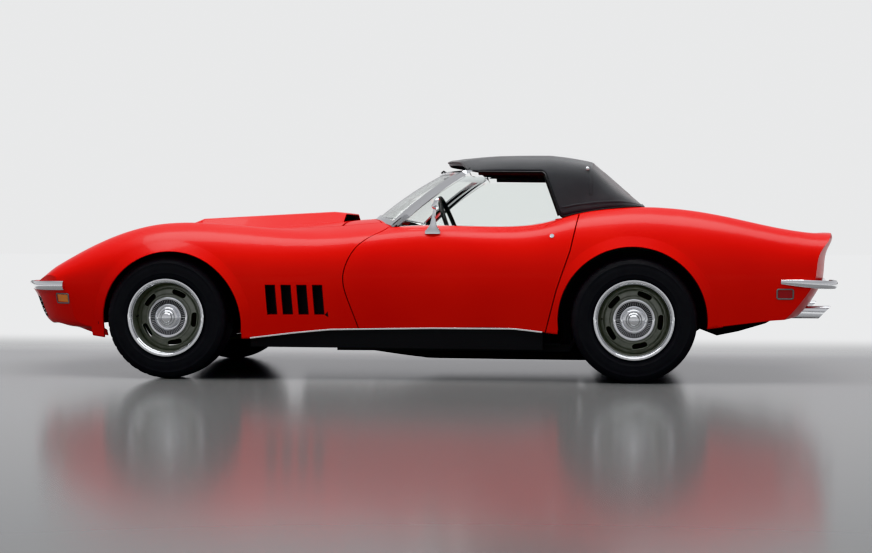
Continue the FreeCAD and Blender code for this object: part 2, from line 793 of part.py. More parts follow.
dome = dome_solid(0)
dome_inner = dome_solid(skin)
dome_inner.translate(Vector(1.0, 0, 0))
hood_shape = shell_part(hood_prism(0))
dome_shell = dome.cut(dome_inner).cut(inner_form)
hood_shape = hood_shape.fuse(dome_shell)
node("hood", feature("hood_shell", keep_large(hood_shape)))
node("wiper_panel", feature("wiper_shell", shell_part(wiper_prism(0), dome)))
node("deck_lid", feature("deck_shell", shell_part(deck_prism(0), door_hole)))

# Doors: the skin with the trim box behind it

DOOR_INSET = 26.0
DOOR_FLOOR = 310.0
for side, word in ((-1, "left"), (1, "right")):
    outer_skin = skin_form.common(door_prism(0))
    lining = inner_form.common(door_prism(-DOOR_INSET))
    lining = lining.common(Part.makeBox(reach, 2000, 900, Vector(-reach / 2, -1000, float(above(DOOR_FLOOR)))))
    shape = keep_large(outer_skin.fuse(lining))
    if side > 0:
        shape = shape.mirror(Vector(), Vector(0, 1, 0))
    node(f"door_{word}", feature(f"door_{word}_shell", shape))

# Windscreen: a bowed sheet between a base curve on the cowl and a header curve

GLASS_ROWS = [0.0, 0.33, 0.67, 1.0]
GLASS_STEPS = [-1.0, -0.8, -0.5, -0.25, 0.0, 0.25, 0.5, 0.8, 1.0]
HEADER_X, HEADER_SWEEP, HEADER_HALF, HEADER_Z = 1402.0, 165.0, 572.0, 1120.0
BASE_Z, BASE_DROP = 872.0, 44.0
GLASS_BOW = 14.0


def screen_point(step, rise):
    """A point of the windscreen: step across from -1 to 1, rise from base 0 to header 1."""
    base = (glass_base_x(GLASS_HALF_BASE * step), GLASS_HALF_BASE * step, BASE_Z - BASE_DROP * step ** 2)
    head = (HEADER_X + HEADER_SWEEP * step ** 2, HEADER_HALF * step, HEADER_Z)
    x, y, z = (low + (high - low) * rise for low, high in zip(base, head))
    bow = GLASS_BOW * 4 * rise * (1 - rise)
    return point(x - bow * 0.6, y, z + bow * 0.8)


def screen_sheet(half, low, high, thickness, start=0.0):
    """A slab that follows the windscreen, thickened inwards from a depth."""
    grid = []
    for share in GLASS_ROWS:
        rise = low + (high - low) * share
        grid.append([screen_point(step * half, rise) for step in GLASS_STEPS])
    face = Part.BSplineSurface()
    face.interpolate(grid)
    inwards = Vector(0.55, 0, -0.83)
    sheet_face = face.toShape()
    sheet_face.translate(inwards * start)
    return sheet_face.extrude(inwards * thickness)


FRAME_DEPTH = 26.0
screen_slab = screen_sheet(1.04, -0.02, 1.16, FRAME_DEPTH)
screen_window = screen_sheet(0.955, 0.045, 0.955, 3 * FRAME_DEPTH, -FRAME_DEPTH)
screen_frame = screen_slab.cut(screen_window).cut(seated_form).cut(door_hole)
node("windscreen_frame", feature("screen_frame", keep_large(screen_frame)))
screen_glass = screen_sheet(0.952, 0.048, 0.952, cell.glass_thickness.value, 8.0)
node("windscreen_glass", feature("screen_glass", screen_glass))

# Soft top: a hollow canopy from the header to the deck, open over the doors

ROOF_LINES = [
    # distance behind the front axle, then half width and height of belt, side, rail, edge and crown
    (1380, 704, 780, 660, 960, 600, 1080, 500, 1128, 1148),
    (1480, 704, 780, 664, 960, 612, 1102, 500, 1158, 1176),
    (1620, 706, 780, 668, 960, 620, 1122, 500, 1186, 1203),
    (1800, 706, 780, 670, 960, 624, 1130, 500, 1194, 1212),
    (1980, 706, 780, 670, 960, 624, 1132, 500, 1196, 1213),
    (2130, 706, 790, 672, 960, 622, 1126, 500, 1184, 1202),
    (2240, 706, 800, 674, 958, 616, 1104, 500, 1148, 1176),
    (2330, 706, 810, 676, 944, 628, 1040, 500, 1090, 1104),
    (2420, 704, 820, 680, 920, 640, 984, 500, 1024, 1032),
    (2500, 702, 830, 684, 900, 650, 934, 500, 960, 964),
    (2580, 700, 830, 686, 880, 656, 884, 500, 896, 900),
]
ROOF_THICKNESS = 12.0
WINDOW = [(1180, 700), (1180, 860), (1560, 1092), (1800, 1100), (2016, 1094), (2034, 1080), (2104, 872), (2200, 700)]


def roof_rows(depth):
    rows = []
    for x, *sizes in ROOF_LINES:
        crown = sizes[-1]
        half = [[sizes[i], sizes[i + 1]] for i in range(0, 8, 2)]
        half += [[250, crown - 2], [0, crown]]
        if depth:
            half = inset(half, depth)
            half[0][1] -= OPEN_BELOW
        left = [point(x, -y, z) for y, z in half]
        rows.append(left + [point(x, y, z) for y, z in reversed(half[:-1])])
    return rows


roof_outer = solid_under(roof_rows(0.0))
roof_inner = solid_under(roof_rows(ROOF_THICKNESS))
rear_trim = Part.makeBox(400, 2000, 1500, Vector(float(along(2546)), -1000, 0))
ROOF_LIP = 36.0
lip_line = [(HEADER_X + ROOF_LIP + HEADER_SWEEP * (y / HEADER_HALF) ** 2, y) for y in range(-640, 641, 160)]
front_trim = prism([(1000, -640)] + lip_line + [(1000, 640)], 0, 1500, "plan")
canopy = roof_outer.cut(roof_inner).cut(front_trim).cut(rear_trim)
canopy = canopy.cut(prism(WINDOW, -1000, 1000, "side")).cut(seal_form)
REAR_WINDOW_HALF = 380.0
REAR_WINDOW = (2318.0, 2470.0)
window_hole = prism([(REAR_WINDOW[0], -REAR_WINDOW_HALF), (REAR_WINDOW[1], -REAR_WINDOW_HALF),
                     (REAR_WINDOW[1], REAR_WINDOW_HALF), (REAR_WINDOW[0], REAR_WINDOW_HALF)], 900, 1400, "plan")
node("soft_top", feature("canopy", keep_large(canopy.cut(window_hole).cut(screen_slab))))
pane = roof_outer.cut(solid_under(roof_rows(3.0)))
inner_hole = prism([(REAR_WINDOW[0] + 0.3, -REAR_WINDOW_HALF + 0.3), (REAR_WINDOW[1] - 0.3, -REAR_WINDOW_HALF + 0.3),
                    (REAR_WINDOW[1] - 0.3, REAR_WINDOW_HALF - 0.3), (REAR_WINDOW[0] + 0.3, REAR_WINDOW_HALF - 0.3)],
                   900, 1400, "plan")
pane.translate(Vector(-2, 0, -2))
node("rear_window", feature("rear_pane", keep_large(pane.common(inner_hole))))

# Door glass, raised, on the door's top edge

for side, word in ((-1, "left"), (1, "right")):
    rows = []
    for share in (0.0, 0.5, 1.0):
        y = DOOR_HALF + 6 + (HEADER_HALF + 34 - DOOR_HALF - 6) * share
        z = 790 + (1086 - 790) * share
        rows.append([point(x, side * y, z) for x in (1180, 1500, 1850, 2120)])
    pane = Part.BSplineSurface()
    pane.interpolate(rows)
    glass = pane.toShape().extrude(Vector(0, -side * cell.glass_thickness.value, 0))
    outline = [(1236, 740), (1236, 852), (1250, 868), (1576, 1084), (2008, 1086), (2092, 852), (2100, 740)]
    glass = glass.common(prism(outline, -1000, 1000, "side")).cut(seated_form)
    glass = glass.cut(screen_sheet(1.1, -0.08, 1.2, FRAME_DEPTH + 2 * gap, -gap))
    node(f"door_glass_{word}", feature(f"door_glass_{word}_pane", keep_large(glass, 1000)))

# Wheels: tyre, steel rim with its brake disc, chrome ring and cap

rim_radius = cell.rim_diameter / 2
lip_radius = cell.rim_lip_diameter / 2
rim_side = cell.rim_half_width
bead_side = rim_side - 10
spider_face = rim_side - cell.disc_recess
spider_back = spider_face - cell.rim_wall
bore = cell.spindle_radius + cell.running_gap
DISC_RADIUS = 148
DISC_SET = 14
DISC_THICKNESS = 20


def tyre_profile(side):
    radius = cell.tyre_diameter / 2
    width = cell.tyre_half_width
    bead = rim_radius + cell.running_gap
    half = [(bead, bead_side - cell.running_gap), (lip_radius + 2, bead_side - cell.running_gap),
            (lip_radius + 8, width - 6), (radius * 0.75, width - 1), (radius * 0.83, width),
            (radius * 0.91, width - 4), (radius * 0.965, width - 14), (radius - 3, width - 30),
            (radius, width - 60)]
    other = [(r, -w) for r, w in reversed(half)]
    return half + other


def rim_profile(side):
    well = rim_radius - cell.rim_wall
    points = [(lip_radius, bead_side), (lip_radius, rim_side), (lip_radius - 5, rim_side),
              (well, bead_side - 4), (well, spider_face), (bore, spider_face),
              (bore, spider_back - DISC_SET - DISC_THICKNESS),
              (DISC_RADIUS, spider_back - DISC_SET - DISC_THICKNESS), (DISC_RADIUS, spider_back - DISC_SET),
              (cell.hub_radius, spider_back - DISC_SET), (cell.hub_radius, spider_back), (well, spider_back),
              (well, 4 - bead_side), (lip_radius - 5, -rim_side), (lip_radius, -rim_side),
              (lip_radius, -bead_side), (rim_radius, -bead_side), (rim_radius, bead_side)]
    return [(r, side * as_size(w)) for r, w in points]


def ring_profile(side):
    """The bright band over the rim's outer lip."""
    well = rim_radius - cell.rim_wall - cell.running_gap
    points = [(lip_radius, rim_side + 0.3), (lip_radius, rim_side + 2.4), (lip_radius - 5, rim_side + 2.7),
              (well - 3, bead_side - 2), (well - 3, spider_face + 26), (well, spider_face + 26),
              (well, bead_side - 4), (lip_radius - 5, rim_side + 0.3)]
    return [(r, side * as_size(w)) for r, w in points]


def cap_profile(side):
    """The stepped chrome cap, hollow over the spindle's end."""
    foot = spider_face + cell.running_gap
    top = rim_side - 2
    points = [(cell.cap_radius, foot), (cell.cap_radius, foot + 10), (cell.cap_radius - 8, foot + 16),
              (68, foot + 22), (66, foot + 30), (56, foot + 36), (52, top - 12), (34, top - 2), (0, top),
              (0, top - 8), (46, top - 18), (50, foot + 30), (60, foot + 16), (cell.cap_radius - 14, foot + 10),
              (cell.cap_radius - 6, foot + 5), (cell.cap_radius - 6, foot)]
    return [(r, side * as_size(w)) for r, w in points]


def slotted(body, side):
    """Cut the ring of rounded slots through the spider."""
    half, rise = cell.slot_length / 2, cell.slot_height / 2
    low, high = cell.slot_circle - rise, cell.slot_circle + rise
    round_off = rise * 0.6
    corners = [(-half, low + round_off), (-half + round_off, low), (half - round_off, low),
               (half, low + round_off), (half, high - round_off), (half - round_off, high),
               (-half + round_off, high), (-half, high - round_off)]
    sketch = outline_sketch(body, body.Name + "_slot", "XZ_Plane", corners)
    hole = body.newObject("PartDesign::Pocket", body.Name + "_hole")
    hole.Profile = sketch
    hole.Midplane = True
    hole.Length = 2 * float(rim_side)
    doc.recompute()
    ring = body.newObject("PartDesign::PolarPattern", body.Name + "_holes")
    ring.Originals = [hole]
    ring.Axis = (sketch, ["V_Axis"])
    ring.Axis = (body.Group[0], ["V_Axis"])
    ring.Angle = 360
    ring.setExpression("Occurrences", "Sizes.slot_count")
    body.Tip = ring
    return body


for end, axle_x, track in (("front", front_axle_x, cell.front_track), ("rear", rear_axle_x, cell.rear_track)):
    for side, word in ((-1, "left"), (1, "right")):
        name = f"{end}_{word}"
        y = track / 2 * side
        tyre = turned(f"tyre_{name}_body", tyre_profile(side))
        node(f"tyre_{name}", place(tyre, axle_x, y, axle_z))
        rim = slotted(turned(f"rim_{name}_body", rim_profile(side)), side)
        node(f"rim_{name}", place(rim, axle_x, y, axle_z))
        ring = turned(f"ring_{name}_body", ring_profile(side))
        cap = turned(f"cap_{name}_body", cap_profile(side))
        place(ring, axle_x, y, axle_z)
        place(cap, axle_x, y, axle_z)
        node(f"wheel_trim_{name}", group(f"trim_{name}", ring, cap))

# Front knuckles and the arms that carry them

upright_height = 230
FRONT_RAIL_Z = 300
arm_thickness = 26
for side, word in ((-1, "left"), (1, "right")):
    kingpin_y = (cell.front_track / 2 - cell.kingpin_offset) * side
    spindle_length = cell.kingpin_offset + spider_face + 24
    spindle_start = kingpin_y if side > 0 else kingpin_y - spindle_length
    spindle = rod(f"spindle_{word}", "y", front_axle_x, spindle_start, axle_z, cell.spindle_radius, spindle_length)
    upright = box(f"upright_{word}", front_axle_x - 20, kingpin_y - 15, axle_z - upright_height / 2 + 10,
                  40, 30, upright_height)
    arm = box(f"steer_arm_{word}", front_axle_x, kingpin_y - 12, axle_z - 70, 130, 24, 24)
    node(f"knuckle_{word}", fuse(f"knuckle_{word}_solid", spindle, upright, arm))

low_arm_z = axle_z + 10 - upright_height / 2 - cell.running_gap - arm_thickness
high_arm_z = axle_z + 10 + upright_height / 2 + cell.running_gap
kingpin = cell.front_track / 2 - cell.kingpin_offset
beam_z = low_arm_z - 40
parts = [box("front_beam", front_axle_x - 90, -380, beam_z, 180, 760, FRONT_RAIL_Z - cell.running_gap - beam_z)]
for side, word in ((-1, "left"), (1, "right")):
    for level, arm_z, inner in (("low", low_arm_z, 340), ("high", high_arm_z, 400)):
        reach_out = kingpin + 22 - inner
        start = inner if side > 0 else -(kingpin + 22)
        parts.append(box(f"{level}_arm_{word}", front_axle_x - 30, start, arm_z, 60, reach_out, arm_thickness))
    parts.append(box(f"tower_{word}", front_axle_x - 60, 370 * side - 30, low_arm_z, 120, 60,
                     high_arm_z - low_arm_z + arm_thickness))
    parts.append(rod(f"coil_{word}", "z", front_axle_x, 480 * side, low_arm_z + arm_thickness - 2, 52, 150))
node("front_suspension", fuse("front_suspension_solid", *parts))

# Chassis frame

rail_z = cell.rail_bottom
side_rail_y = 600
BULKHEAD = 2100
front_rail_y = 300
rails = []
cross_height = cell.floor_height - rail_z - cell.running_gap
for side, word in ((-1, "left"), (1, "right")):
    y = side_rail_y if side > 0 else -side_rail_y - cell.rail_width
    rails.append(box(f"side_rail_{word}", along(900), y, rail_z, along(2080) - along(900), cell.rail_width,
                     cross_height))
    y = front_rail_y - 60 if side > 0 else -front_rail_y
    rails.append(box(f"front_rail_{word}", along(-640), y, FRONT_RAIL_Z, along(980) - along(-640), 60, 90))
    rails.append(box(f"front_drop_{word}", along(940), y, rail_z, 40, 60, FRONT_RAIL_Z + 60 - rail_z))
    y = 420 if side > 0 else -480
    rails.append(box(f"rear_rail_{word}", along(BULKHEAD + 12), y, 360, along(3300) - along(BULKHEAD + 12), 60, 90))
    rails.append(box(f"rear_drop_{word}", along(BULKHEAD + 12), y, rail_z, 40, 60, 300))
    y = 555 if side > 0 else -605
    rails.append(box(f"arm_bracket_{word}", along(BULKHEAD + 12), y, rail_z, 40, 50, axle_z + 60 - rail_z))
rails.append(box("cross_front", along(-640), -front_rail_y, FRONT_RAIL_Z, 60, 2 * front_rail_y, 60))
rails.append(box("cross_dash", along(900), -side_rail_y - cell.rail_width, rail_z, 80,
                 2 * (side_rail_y + cell.rail_width), cross_height))
rails.append(box("cross_seat", along(2000), -side_rail_y - cell.rail_width, rail_z, along(BULKHEAD + 12) + 40 - along(2000),
                 2 * (side_rail_y + cell.rail_width), cross_height))
rails.append(box("cross_rear", along(3240), -480, 395, 60, 960, 55))
node("chassis_frame", fuse("chassis_solid", *rails))

# Engine, gearbox, shafts and the rear axle parts

mounts = box("engine_mounts", along(330), -front_rail_y + 60 + cell.running_gap, FRONT_RAIL_Z + 10, 90,
             2 * (front_rail_y - 60 - cell.running_gap), 60)
engine = box("engine_block", along(150), -cell.engine_width / 2 + 20, cell.engine_bottom, cell.engine_length,
             cell.engine_width - 40, cell.engine_height)
gearbox = box("gearbox_block", along(150) + cell.engine_length, -95, 230, 640, 190, 180)
shaft = rod("propshaft", "x", along(150) + cell.engine_length + 640, 0, 330, 36,
            rear_axle_x - 110 - along(150) - cell.engine_length - 640)
final_drive = box("final_drive", rear_axle_x - 110, -120, 240, 220, 240, 190)
node("drivetrain", fuse("drivetrain_solid", engine, mounts, gearbox, shaft, final_drive))

axle_parts = [box("cross_spring", rear_axle_x + 60, -600, 225, 70, 1200, 15 - cell.running_gap)]
rear_face = cell.rear_track / 2 + spider_back - DISC_SET - DISC_THICKNESS
for side, word in ((-1, "left"), (1, "right")):
    y = 120 + cell.running_gap
    length = rear_face - 20 - y
    start = y if side > 0 else -(y + length)
    axle_parts.append(rod(f"half_shaft_{word}", "y", rear_axle_x, start, axle_z, 26, length))
    length = cell.rear_track / 2 + spider_face + 20 - 600
    start = 600 if side > 0 else -(length + 600)
    axle_parts.append(rod(f"rear_spindle_{word}", "y", rear_axle_x, start, axle_z, cell.spindle_radius, length))
    start = 560 if side > 0 else -600
    arm_start = along(BULKHEAD + 12) + 40 + cell.running_gap
    axle_parts.append(box(f"trailing_arm_{word}", arm_start, start, axle_z - 50, rear_axle_x + 140 - arm_start,
                          40, 80))
    axle_parts.append(box(f"spring_hanger_{word}", rear_axle_x + 70, start, 225, 50, 40, axle_z - 225))
node("rear_suspension", fuse("rear_suspension_solid", *axle_parts))

# Floor tub, dashboard, seats and steering wheel

floor_z = cell.floor_height
sheet_thickness = cell.floor_thickness
tub_start, tub_end = along(1010), along(BULKHEAD)
tub = [box("floor_pan", tub_start, -740, floor_z, tub_end - tub_start, 1480, sheet_thickness),
       box("firewall", tub_start, -690, floor_z, sheet_thickness, 1380, 597),
       box("bulkhead", tub_end, -560, floor_z, sheet_thickness, 1120, 350),
       box("luggage_floor", tub_end, -400, 530, 560, 800, sheet_thickness),
       box("luggage_back", tub_end + 560, -400, 530, sheet_thickness, 800, 250),
       box("tunnel", tub_start, -cell.tunnel_width / 2, floor_z, tub_end - tub_start, cell.tunnel_width,
           cell.tunnel_height)]
for side, word in ((-1, "left"), (1, "right")):
    y = 640 if side > 0 else -694
    tub.append(box(f"sill_{word}", tub_start, y, floor_z, along(2050) - tub_start, 54, 120))
bay = box("tunnel_space", tub_start - 50, -cell.tunnel_width / 2 + sheet_thickness, floor_z - 50,
          tub_end - tub_start + 200, cell.tunnel_width - 2 * sheet_thickness, cell.tunnel_height + 50 - sheet_thickness)
node("floor_tub", cut("floor_tub_solid", fuse("floor_tub_sheets", *tub), bay))

dash_parts = [box("dash_body", along(1150), -650, 560, 170, 1300, 225),
              box("console", along(1300), -100, floor_z + cell.tunnel_height + cell.running_gap, 220, 200, 130)]

seats = []
for side, word in ((-1, "left"), (1, "right")):
    seat = doc.addObject("PartDesign::Body", f"seat_{word}_body")
    floor_top = floor_z + sheet_thickness + cell.running_gap
    start = along(1420)
    length = cell.cushion_length
    thick = cell.back_thickness
    outline = [(start, floor_top), (start + length + 60, floor_top), (start + length + 90, floor_top + 60),
               (start + length + 90 + thick * 0.8, floor_top + cell.back_height),
               (start + length + 30 + thick * 0.4, floor_top + cell.back_height),
               (start + length - 10, floor_top + cell.cushion_height + 30),
               (start + length - 60, floor_top + cell.cushion_height),
               (start + 30, floor_top + cell.cushion_height + 40), (start, floor_top + cell.cushion_height)]
    sketch = outline_sketch(seat, f"seat_{word}_outline", "XZ_Plane", outline)
    pad = seat.newObject("PartDesign::Pad", f"seat_{word}_pad")
    pad.Profile = sketch
    pad.Midplane = True
    pad.setExpression("Length", cell.seat_width.text)
    place(seat, 0, cell.seat_offset * side, 0)
    seats.append(seat)
node("seats", group("seats_pair", *seats))

WHEEL_X, WHEEL_Z = 1494, 789
wheel_ring = doc.addObject("Part::Torus", "steering_ring")
wheel_ring.setExpression("Radius1", cell.wheel_rim_radius.text)
wheel_ring.setExpression("Radius2", cell.wheel_rim_tube.text)
wheel_hub = rod("steering_hub", "z", 0, 0, -30, 34, 36)
spokes = [box("steering_bar", -12, -cell.wheel_rim_radius, -4, 24, 2 * cell.wheel_rim_radius, 6),
          box("steering_spoke", 0, -12, -4, cell.wheel_rim_radius, 24, 6)]
steering = fuse("steering_wheel_solid", wheel_ring, wheel_hub, *spokes)
tilt = FreeCAD.Rotation(Vector(0, 1, 0), 90 - cell.column_tilt.value)
steering.Placement = FreeCAD.Placement(Vector(), tilt)
place(steering, along(WHEEL_X), -cell.seat_offset, above(WHEEL_Z))
node("steering_wheel", steering)
column = doc.addObject("Part::Cylinder", "column_tube")
column.Radius = 26
column.Height = 170
column.Placement = FreeCAD.Placement(Vector(), tilt)
run = Vector(math.cos(math.radians(cell.column_tilt.value)), 0, math.sin(math.radians(cell.column_tilt.value)))
back_step = 30 + cell.running_gap.value + 170
place(column, along(WHEEL_X) - back_step * run.x, -cell.seat_offset, above(WHEEL_Z) - back_step * run.z)
node("dashboard", fuse("dashboard_solid", *dash_parts, column))

# Outside fittings

bumper_skin = 24.0
FRONT_BAR = [(-1064, 439), (-590, 468), (-590, 522), (-1064, 504)]
front_band = prism(FRONT_BAR, -785, 785, "side")
front_bar = end_solid(nose_at, -bumper_skin, 1).common(front_band).cut(seated_form)
front_bar = front_bar.cut(end_solid(nose_at, 60.0, 1))
node("front_bumper", feature("front_bar", keep_large(front_bar)))
rear_band = Part.makeBox(320, 2000, 42, Vector(float(tail_x) - 320, -1000, float(above(502))))
rear_band = rear_band.cut(Part.makeBox(400, 330, 200, Vector(float(tail_x) - 350, -165, float(above(450)))))
rear_bar = solid_under(body_rows(-bumper_skin)).common(end_solid(tail_at, -56.0, -1))
rear_bar = rear_bar.common(rear_band).cut(seated_form)
node("rear_bumpers", feature("rear_bars", keep_large(rear_bar)))

rocker_top = [(x, spline_at(SILL, x)[1] - 6.5) for x in (448, 600, 760, 900, 1100, 1400, 1860, 2014)]
rocker_line = [(448, 172)] + rocker_top + [(2014, 166)]
rocker_shape = both_sides(prism(rocker_line, -792, -741, "side"))
node("rocker_covers", feature("rocker_pair", rocker_shape))

pipes = []
for side, word in ((-1, "left"), (1, "right")):
    y = 350 * side
    radius = cell.exhaust_radius
    route = [Vector(float(along(px)), y, pz) for px, pz in ((1050, 120), (2620, 120), (2800, 280), (2900, 280))]
    pipes.append(feature(f"pipe_{word}", tube(route, (160, 70), float(radius))))
    pipes.append(box(f"muffler_{word}", along(2880), y - 60 if side > 0 else y - 190, 230, 320, 250, 100))
    pipes.append(box(f"outlet_{word}", along(3190), y - 40, 300, 60, 80, 80))
    pipes.append(box(f"tip_{word}", along(3220), y - 44, 322, along(3535) - along(3220), 88, 62))
node("exhaust", fuse("exhaust_solid", *pipes))
tank_x = along(2800)
node("fuel_tank", box("tank_block", tank_x, -280, 300, along(3240) - cell.running_gap - tank_x, 560, 230))

mirror_foot = box("mirror_foot", along(1400), -800, 812, 70, 34, 14)
mirror_stem = box("mirror_stem", along(1432), -792, 820, 26, 16, 110)
mirror_head = rod("mirror_head", "x", along(1436), -810, 944, 44, 36)
node("mirror", fuse("mirror_solid", mirror_foot, mirror_stem, mirror_head))

LAMP_PIVOT = (LAMP_REAR + 2.0, 700.0)
pod_line = [(-14, -30), (-14, -150), (-100, -190), (-182, -108), (-182, 60), (-14, 60)]
for side, word in ((-1, "left"), (1, "right")):
    lid = shell_part(lamp_prism(side, 0))
    pod = prism([(LAMP_PIVOT[0] + x, LAMP_PIVOT[1] + z) for x, z in pod_line],
                side * (LAMP_INNER + 12), side * (LAMP_OUTER - 40), "side").common(inner_form)
    node(f"headlamp_{word}", feature(f"headlamp_{word}_pod", keep_large(lid.fuse(pod))))

doc.recompute()
for obj in doc.Objects:
    if "Invalid" in obj.State or "Error" in obj.State:
        raise RuntimeError(f"{obj.Label} failed: {obj.State}")
os.makedirs("parts", exist_ok=True)
for label, obj in nodes.items():
    shape = obj.Shape
    if shape.isNull() or not shape.isValid():
        raise RuntimeError(f"{label} has no valid shape")
    shape.exportStep(f"parts/{label}.step")
print(len(nodes), "pieces written")
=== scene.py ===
import json
from math import copysign, cos, exp, pi, radians, sin

import bmesh
import bpy
import numpy as np
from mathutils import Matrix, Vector, noise
from mathutils.bvhtree import BVHTree


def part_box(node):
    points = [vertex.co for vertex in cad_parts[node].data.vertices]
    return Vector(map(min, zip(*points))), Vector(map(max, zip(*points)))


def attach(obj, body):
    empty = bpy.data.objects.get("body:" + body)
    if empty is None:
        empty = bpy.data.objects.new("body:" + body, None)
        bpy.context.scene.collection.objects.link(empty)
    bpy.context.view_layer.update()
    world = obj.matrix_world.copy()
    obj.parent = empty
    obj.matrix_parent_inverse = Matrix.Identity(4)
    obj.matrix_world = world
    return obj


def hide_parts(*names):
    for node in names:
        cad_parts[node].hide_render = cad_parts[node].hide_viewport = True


# Places are in millimetres behind the front axle, to the right and up, and turned profiles are in
# millimetres too. Sections, the wheels' slots and fins, the seats and small shifts are in metres

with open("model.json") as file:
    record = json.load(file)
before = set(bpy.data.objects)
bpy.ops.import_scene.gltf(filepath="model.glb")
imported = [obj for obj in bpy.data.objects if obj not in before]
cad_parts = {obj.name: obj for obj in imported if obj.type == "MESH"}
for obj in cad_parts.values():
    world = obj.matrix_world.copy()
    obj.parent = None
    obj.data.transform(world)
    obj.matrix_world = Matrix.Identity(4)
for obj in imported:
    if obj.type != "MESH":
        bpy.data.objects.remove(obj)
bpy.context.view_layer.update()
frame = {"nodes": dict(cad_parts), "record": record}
nodes = frame["nodes"]
front_tyre_low, front_tyre_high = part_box("tyre_front_left")
FRONT_AXLE = -round((front_tyre_low.x + front_tyre_high.x) * 500)
SIDES = {"left": -1, "right": 1}
UP, ACROSS = (0, 0, 1), (0, 1, 0)


# Materials

NOISE_ROUGHNESS = 0.6
RAMP_ENDS = (0.3, 0.7)
WEAVE_DISTORTION = 0.6
MADE = {}


def feed(owner, node, values):
    """Sets inputs of a node. A socket is linked, and anything else is a constant."""
    for key, value in values.items():
        if isinstance(value, bpy.types.NodeSocket):
            owner.node_tree.links.new(value, node.inputs[key])
        else:
            node.inputs[key].default_value = value


def add(owner, kind, values, **settings):
    """A new node in the tree of a material or world, with its inputs set."""
    node = owner.node_tree.nodes.new(kind)
    for key, value in settings.items():
        setattr(node, key, value)
    feed(owner, node, values)
    return node


def shade(mat, values):
    """Sets inputs of a material's shader."""
    feed(mat, mat.node_tree.nodes["Principled BSDF"], values)


def material(name, base, roughness=0.5, metallic=0.0, **more):
    """A principled material with its constants set on the shader's own sockets."""
    mat = bpy.data.materials.new(name)
    mat.use_nodes = True
    shade(mat, {"Base Color": (*base, 1), "Roughness": roughness, "Metallic": metallic})
    for socket, value in more.items():
        shade(mat, {socket.replace("_", " ").title().replace("Ior", "IOR"): value})
    MADE[name] = mat
    return mat


def place_coordinates(mat):
    return add(mat, "ShaderNodeTexCoord", {}).outputs["Object"]


def speckle(mat, scale, detail):
    """Noise in the object's own space."""
    values = {"Vector": place_coordinates(mat), "Scale": scale, "Detail": detail,
              "Roughness": NOISE_ROUGHNESS}
    return add(mat, "ShaderNodeTexNoise", values).outputs["Fac"]


def mottled(mat, scale, low, high, detail=4.0):
    """Lets the colour wander between two colours."""
    ramp = add(mat, "ShaderNodeValToRGB", {"Fac": speckle(mat, scale, detail)})
    for element, position, colour in zip(ramp.color_ramp.elements, RAMP_ENDS, (low, high)):
        element.position = position
        element.color = (*colour, 1)
    shade(mat, {"Base Color": ramp.outputs["Color"]})


def worn(mat, scale, low, high, detail=4.0):
    """Lets the roughness wander between two ends."""
    values = {"Value": speckle(mat, scale, detail), "To Min": low, "To Max": high}
    shade(mat, {"Roughness": add(mat, "ShaderNodeMapRange", values).outputs["Result"]})


def bumped(mat, height, strength, distance):
    bump = add(mat, "ShaderNodeBump", {"Height": height, "Strength": strength, "Distance": distance})
    shade(mat, {"Normal": bump.outputs["Normal"]})


def grained(mat, scale, strength, distance, detail=4.0):
    """A fine uneven surface."""
    bumped(mat, speckle(mat, scale, detail), strength, distance)


def woven(mat, threads, strength, distance):
    """A plain weave: two crossed sets of threads, as bump."""
    sets = []
    for axis in ("X", "Y"):
        values = {"Vector": place_coordinates(mat), "Scale": threads, "Distortion": WEAVE_DISTORTION}
        wave = add(mat, "ShaderNodeTexWave", values, wave_type="BANDS", bands_direction=axis)
        sets.append(wave.outputs["Fac"])
    both = add(mat, "ShaderNodeMath", dict(enumerate(sets)), operation="MULTIPLY")
    bumped(mat, both.outputs["Value"], strength, distance)


paint = material("red_paint", (0.66, 0.010, 0.006), 0.34, coat_weight=0.14, coat_roughness=0.04,
                 specular_ior_level=0.2)
mottled(paint, 1.7, (0.60, 0.007, 0.005), (0.66, 0.011, 0.007), detail=2.0)
worn(paint, 900, 0.30, 0.38, detail=2.0)

black_paint = material("black_paint", (0.010, 0.010, 0.010), 0.5)
worn(black_paint, 60, 0.4, 0.65)

iron = material("black_iron", (0.02, 0.019, 0.018), 0.7)
mottled(iron, 25, (0.012, 0.012, 0.012), (0.034, 0.031, 0.028))
grained(iron, 180, 0.25, 0.001)

chrome = material("chrome", (0.82, 0.83, 0.85), 0.06, 1.0)
worn(chrome, 30, 0.04, 0.1)

bright_trim = material("bright_trim", (0.88, 0.88, 0.88), 0.2, 1.0)
worn(bright_trim, 90, 0.15, 0.28)

rim_silver = material("rim_silver", (0.27, 0.28, 0.25), 0.38, 0.6)
mottled(rim_silver, 30, (0.24, 0.25, 0.225), (0.30, 0.31, 0.28))
worn(rim_silver, 60, 0.3, 0.46)

rubber = material("tyre_rubber", (0.010, 0.010, 0.011), 0.6)
mottled(rubber, 14, (0.008, 0.008, 0.009), (0.015, 0.015, 0.016))
grained(rubber, 700, 0.15, 0.0004)

seal = material("rubber_seal", (0.006, 0.006, 0.006), 0.5)
worn(seal, 120, 0.42, 0.6)

glass = material("clear_glass", (0.94, 0.96, 0.95), 0.0, transmission_weight=1.0, ior=1.2)
worn(glass, 8, 0.0, 0.015)

vinyl = material("clear_vinyl", (0.86, 0.86, 0.84), 0.05, transmission_weight=1.0, ior=1.25)
worn(vinyl, 12, 0.04, 0.12)

fabric = material("black_fabric", (0.030, 0.031, 0.033), 0.82, sheen_weight=0.35, sheen_roughness=0.5)
mottled(fabric, 3, (0.024, 0.025, 0.027), (0.040, 0.041, 0.044))
woven(fabric, 420, 0.5, 0.0005)

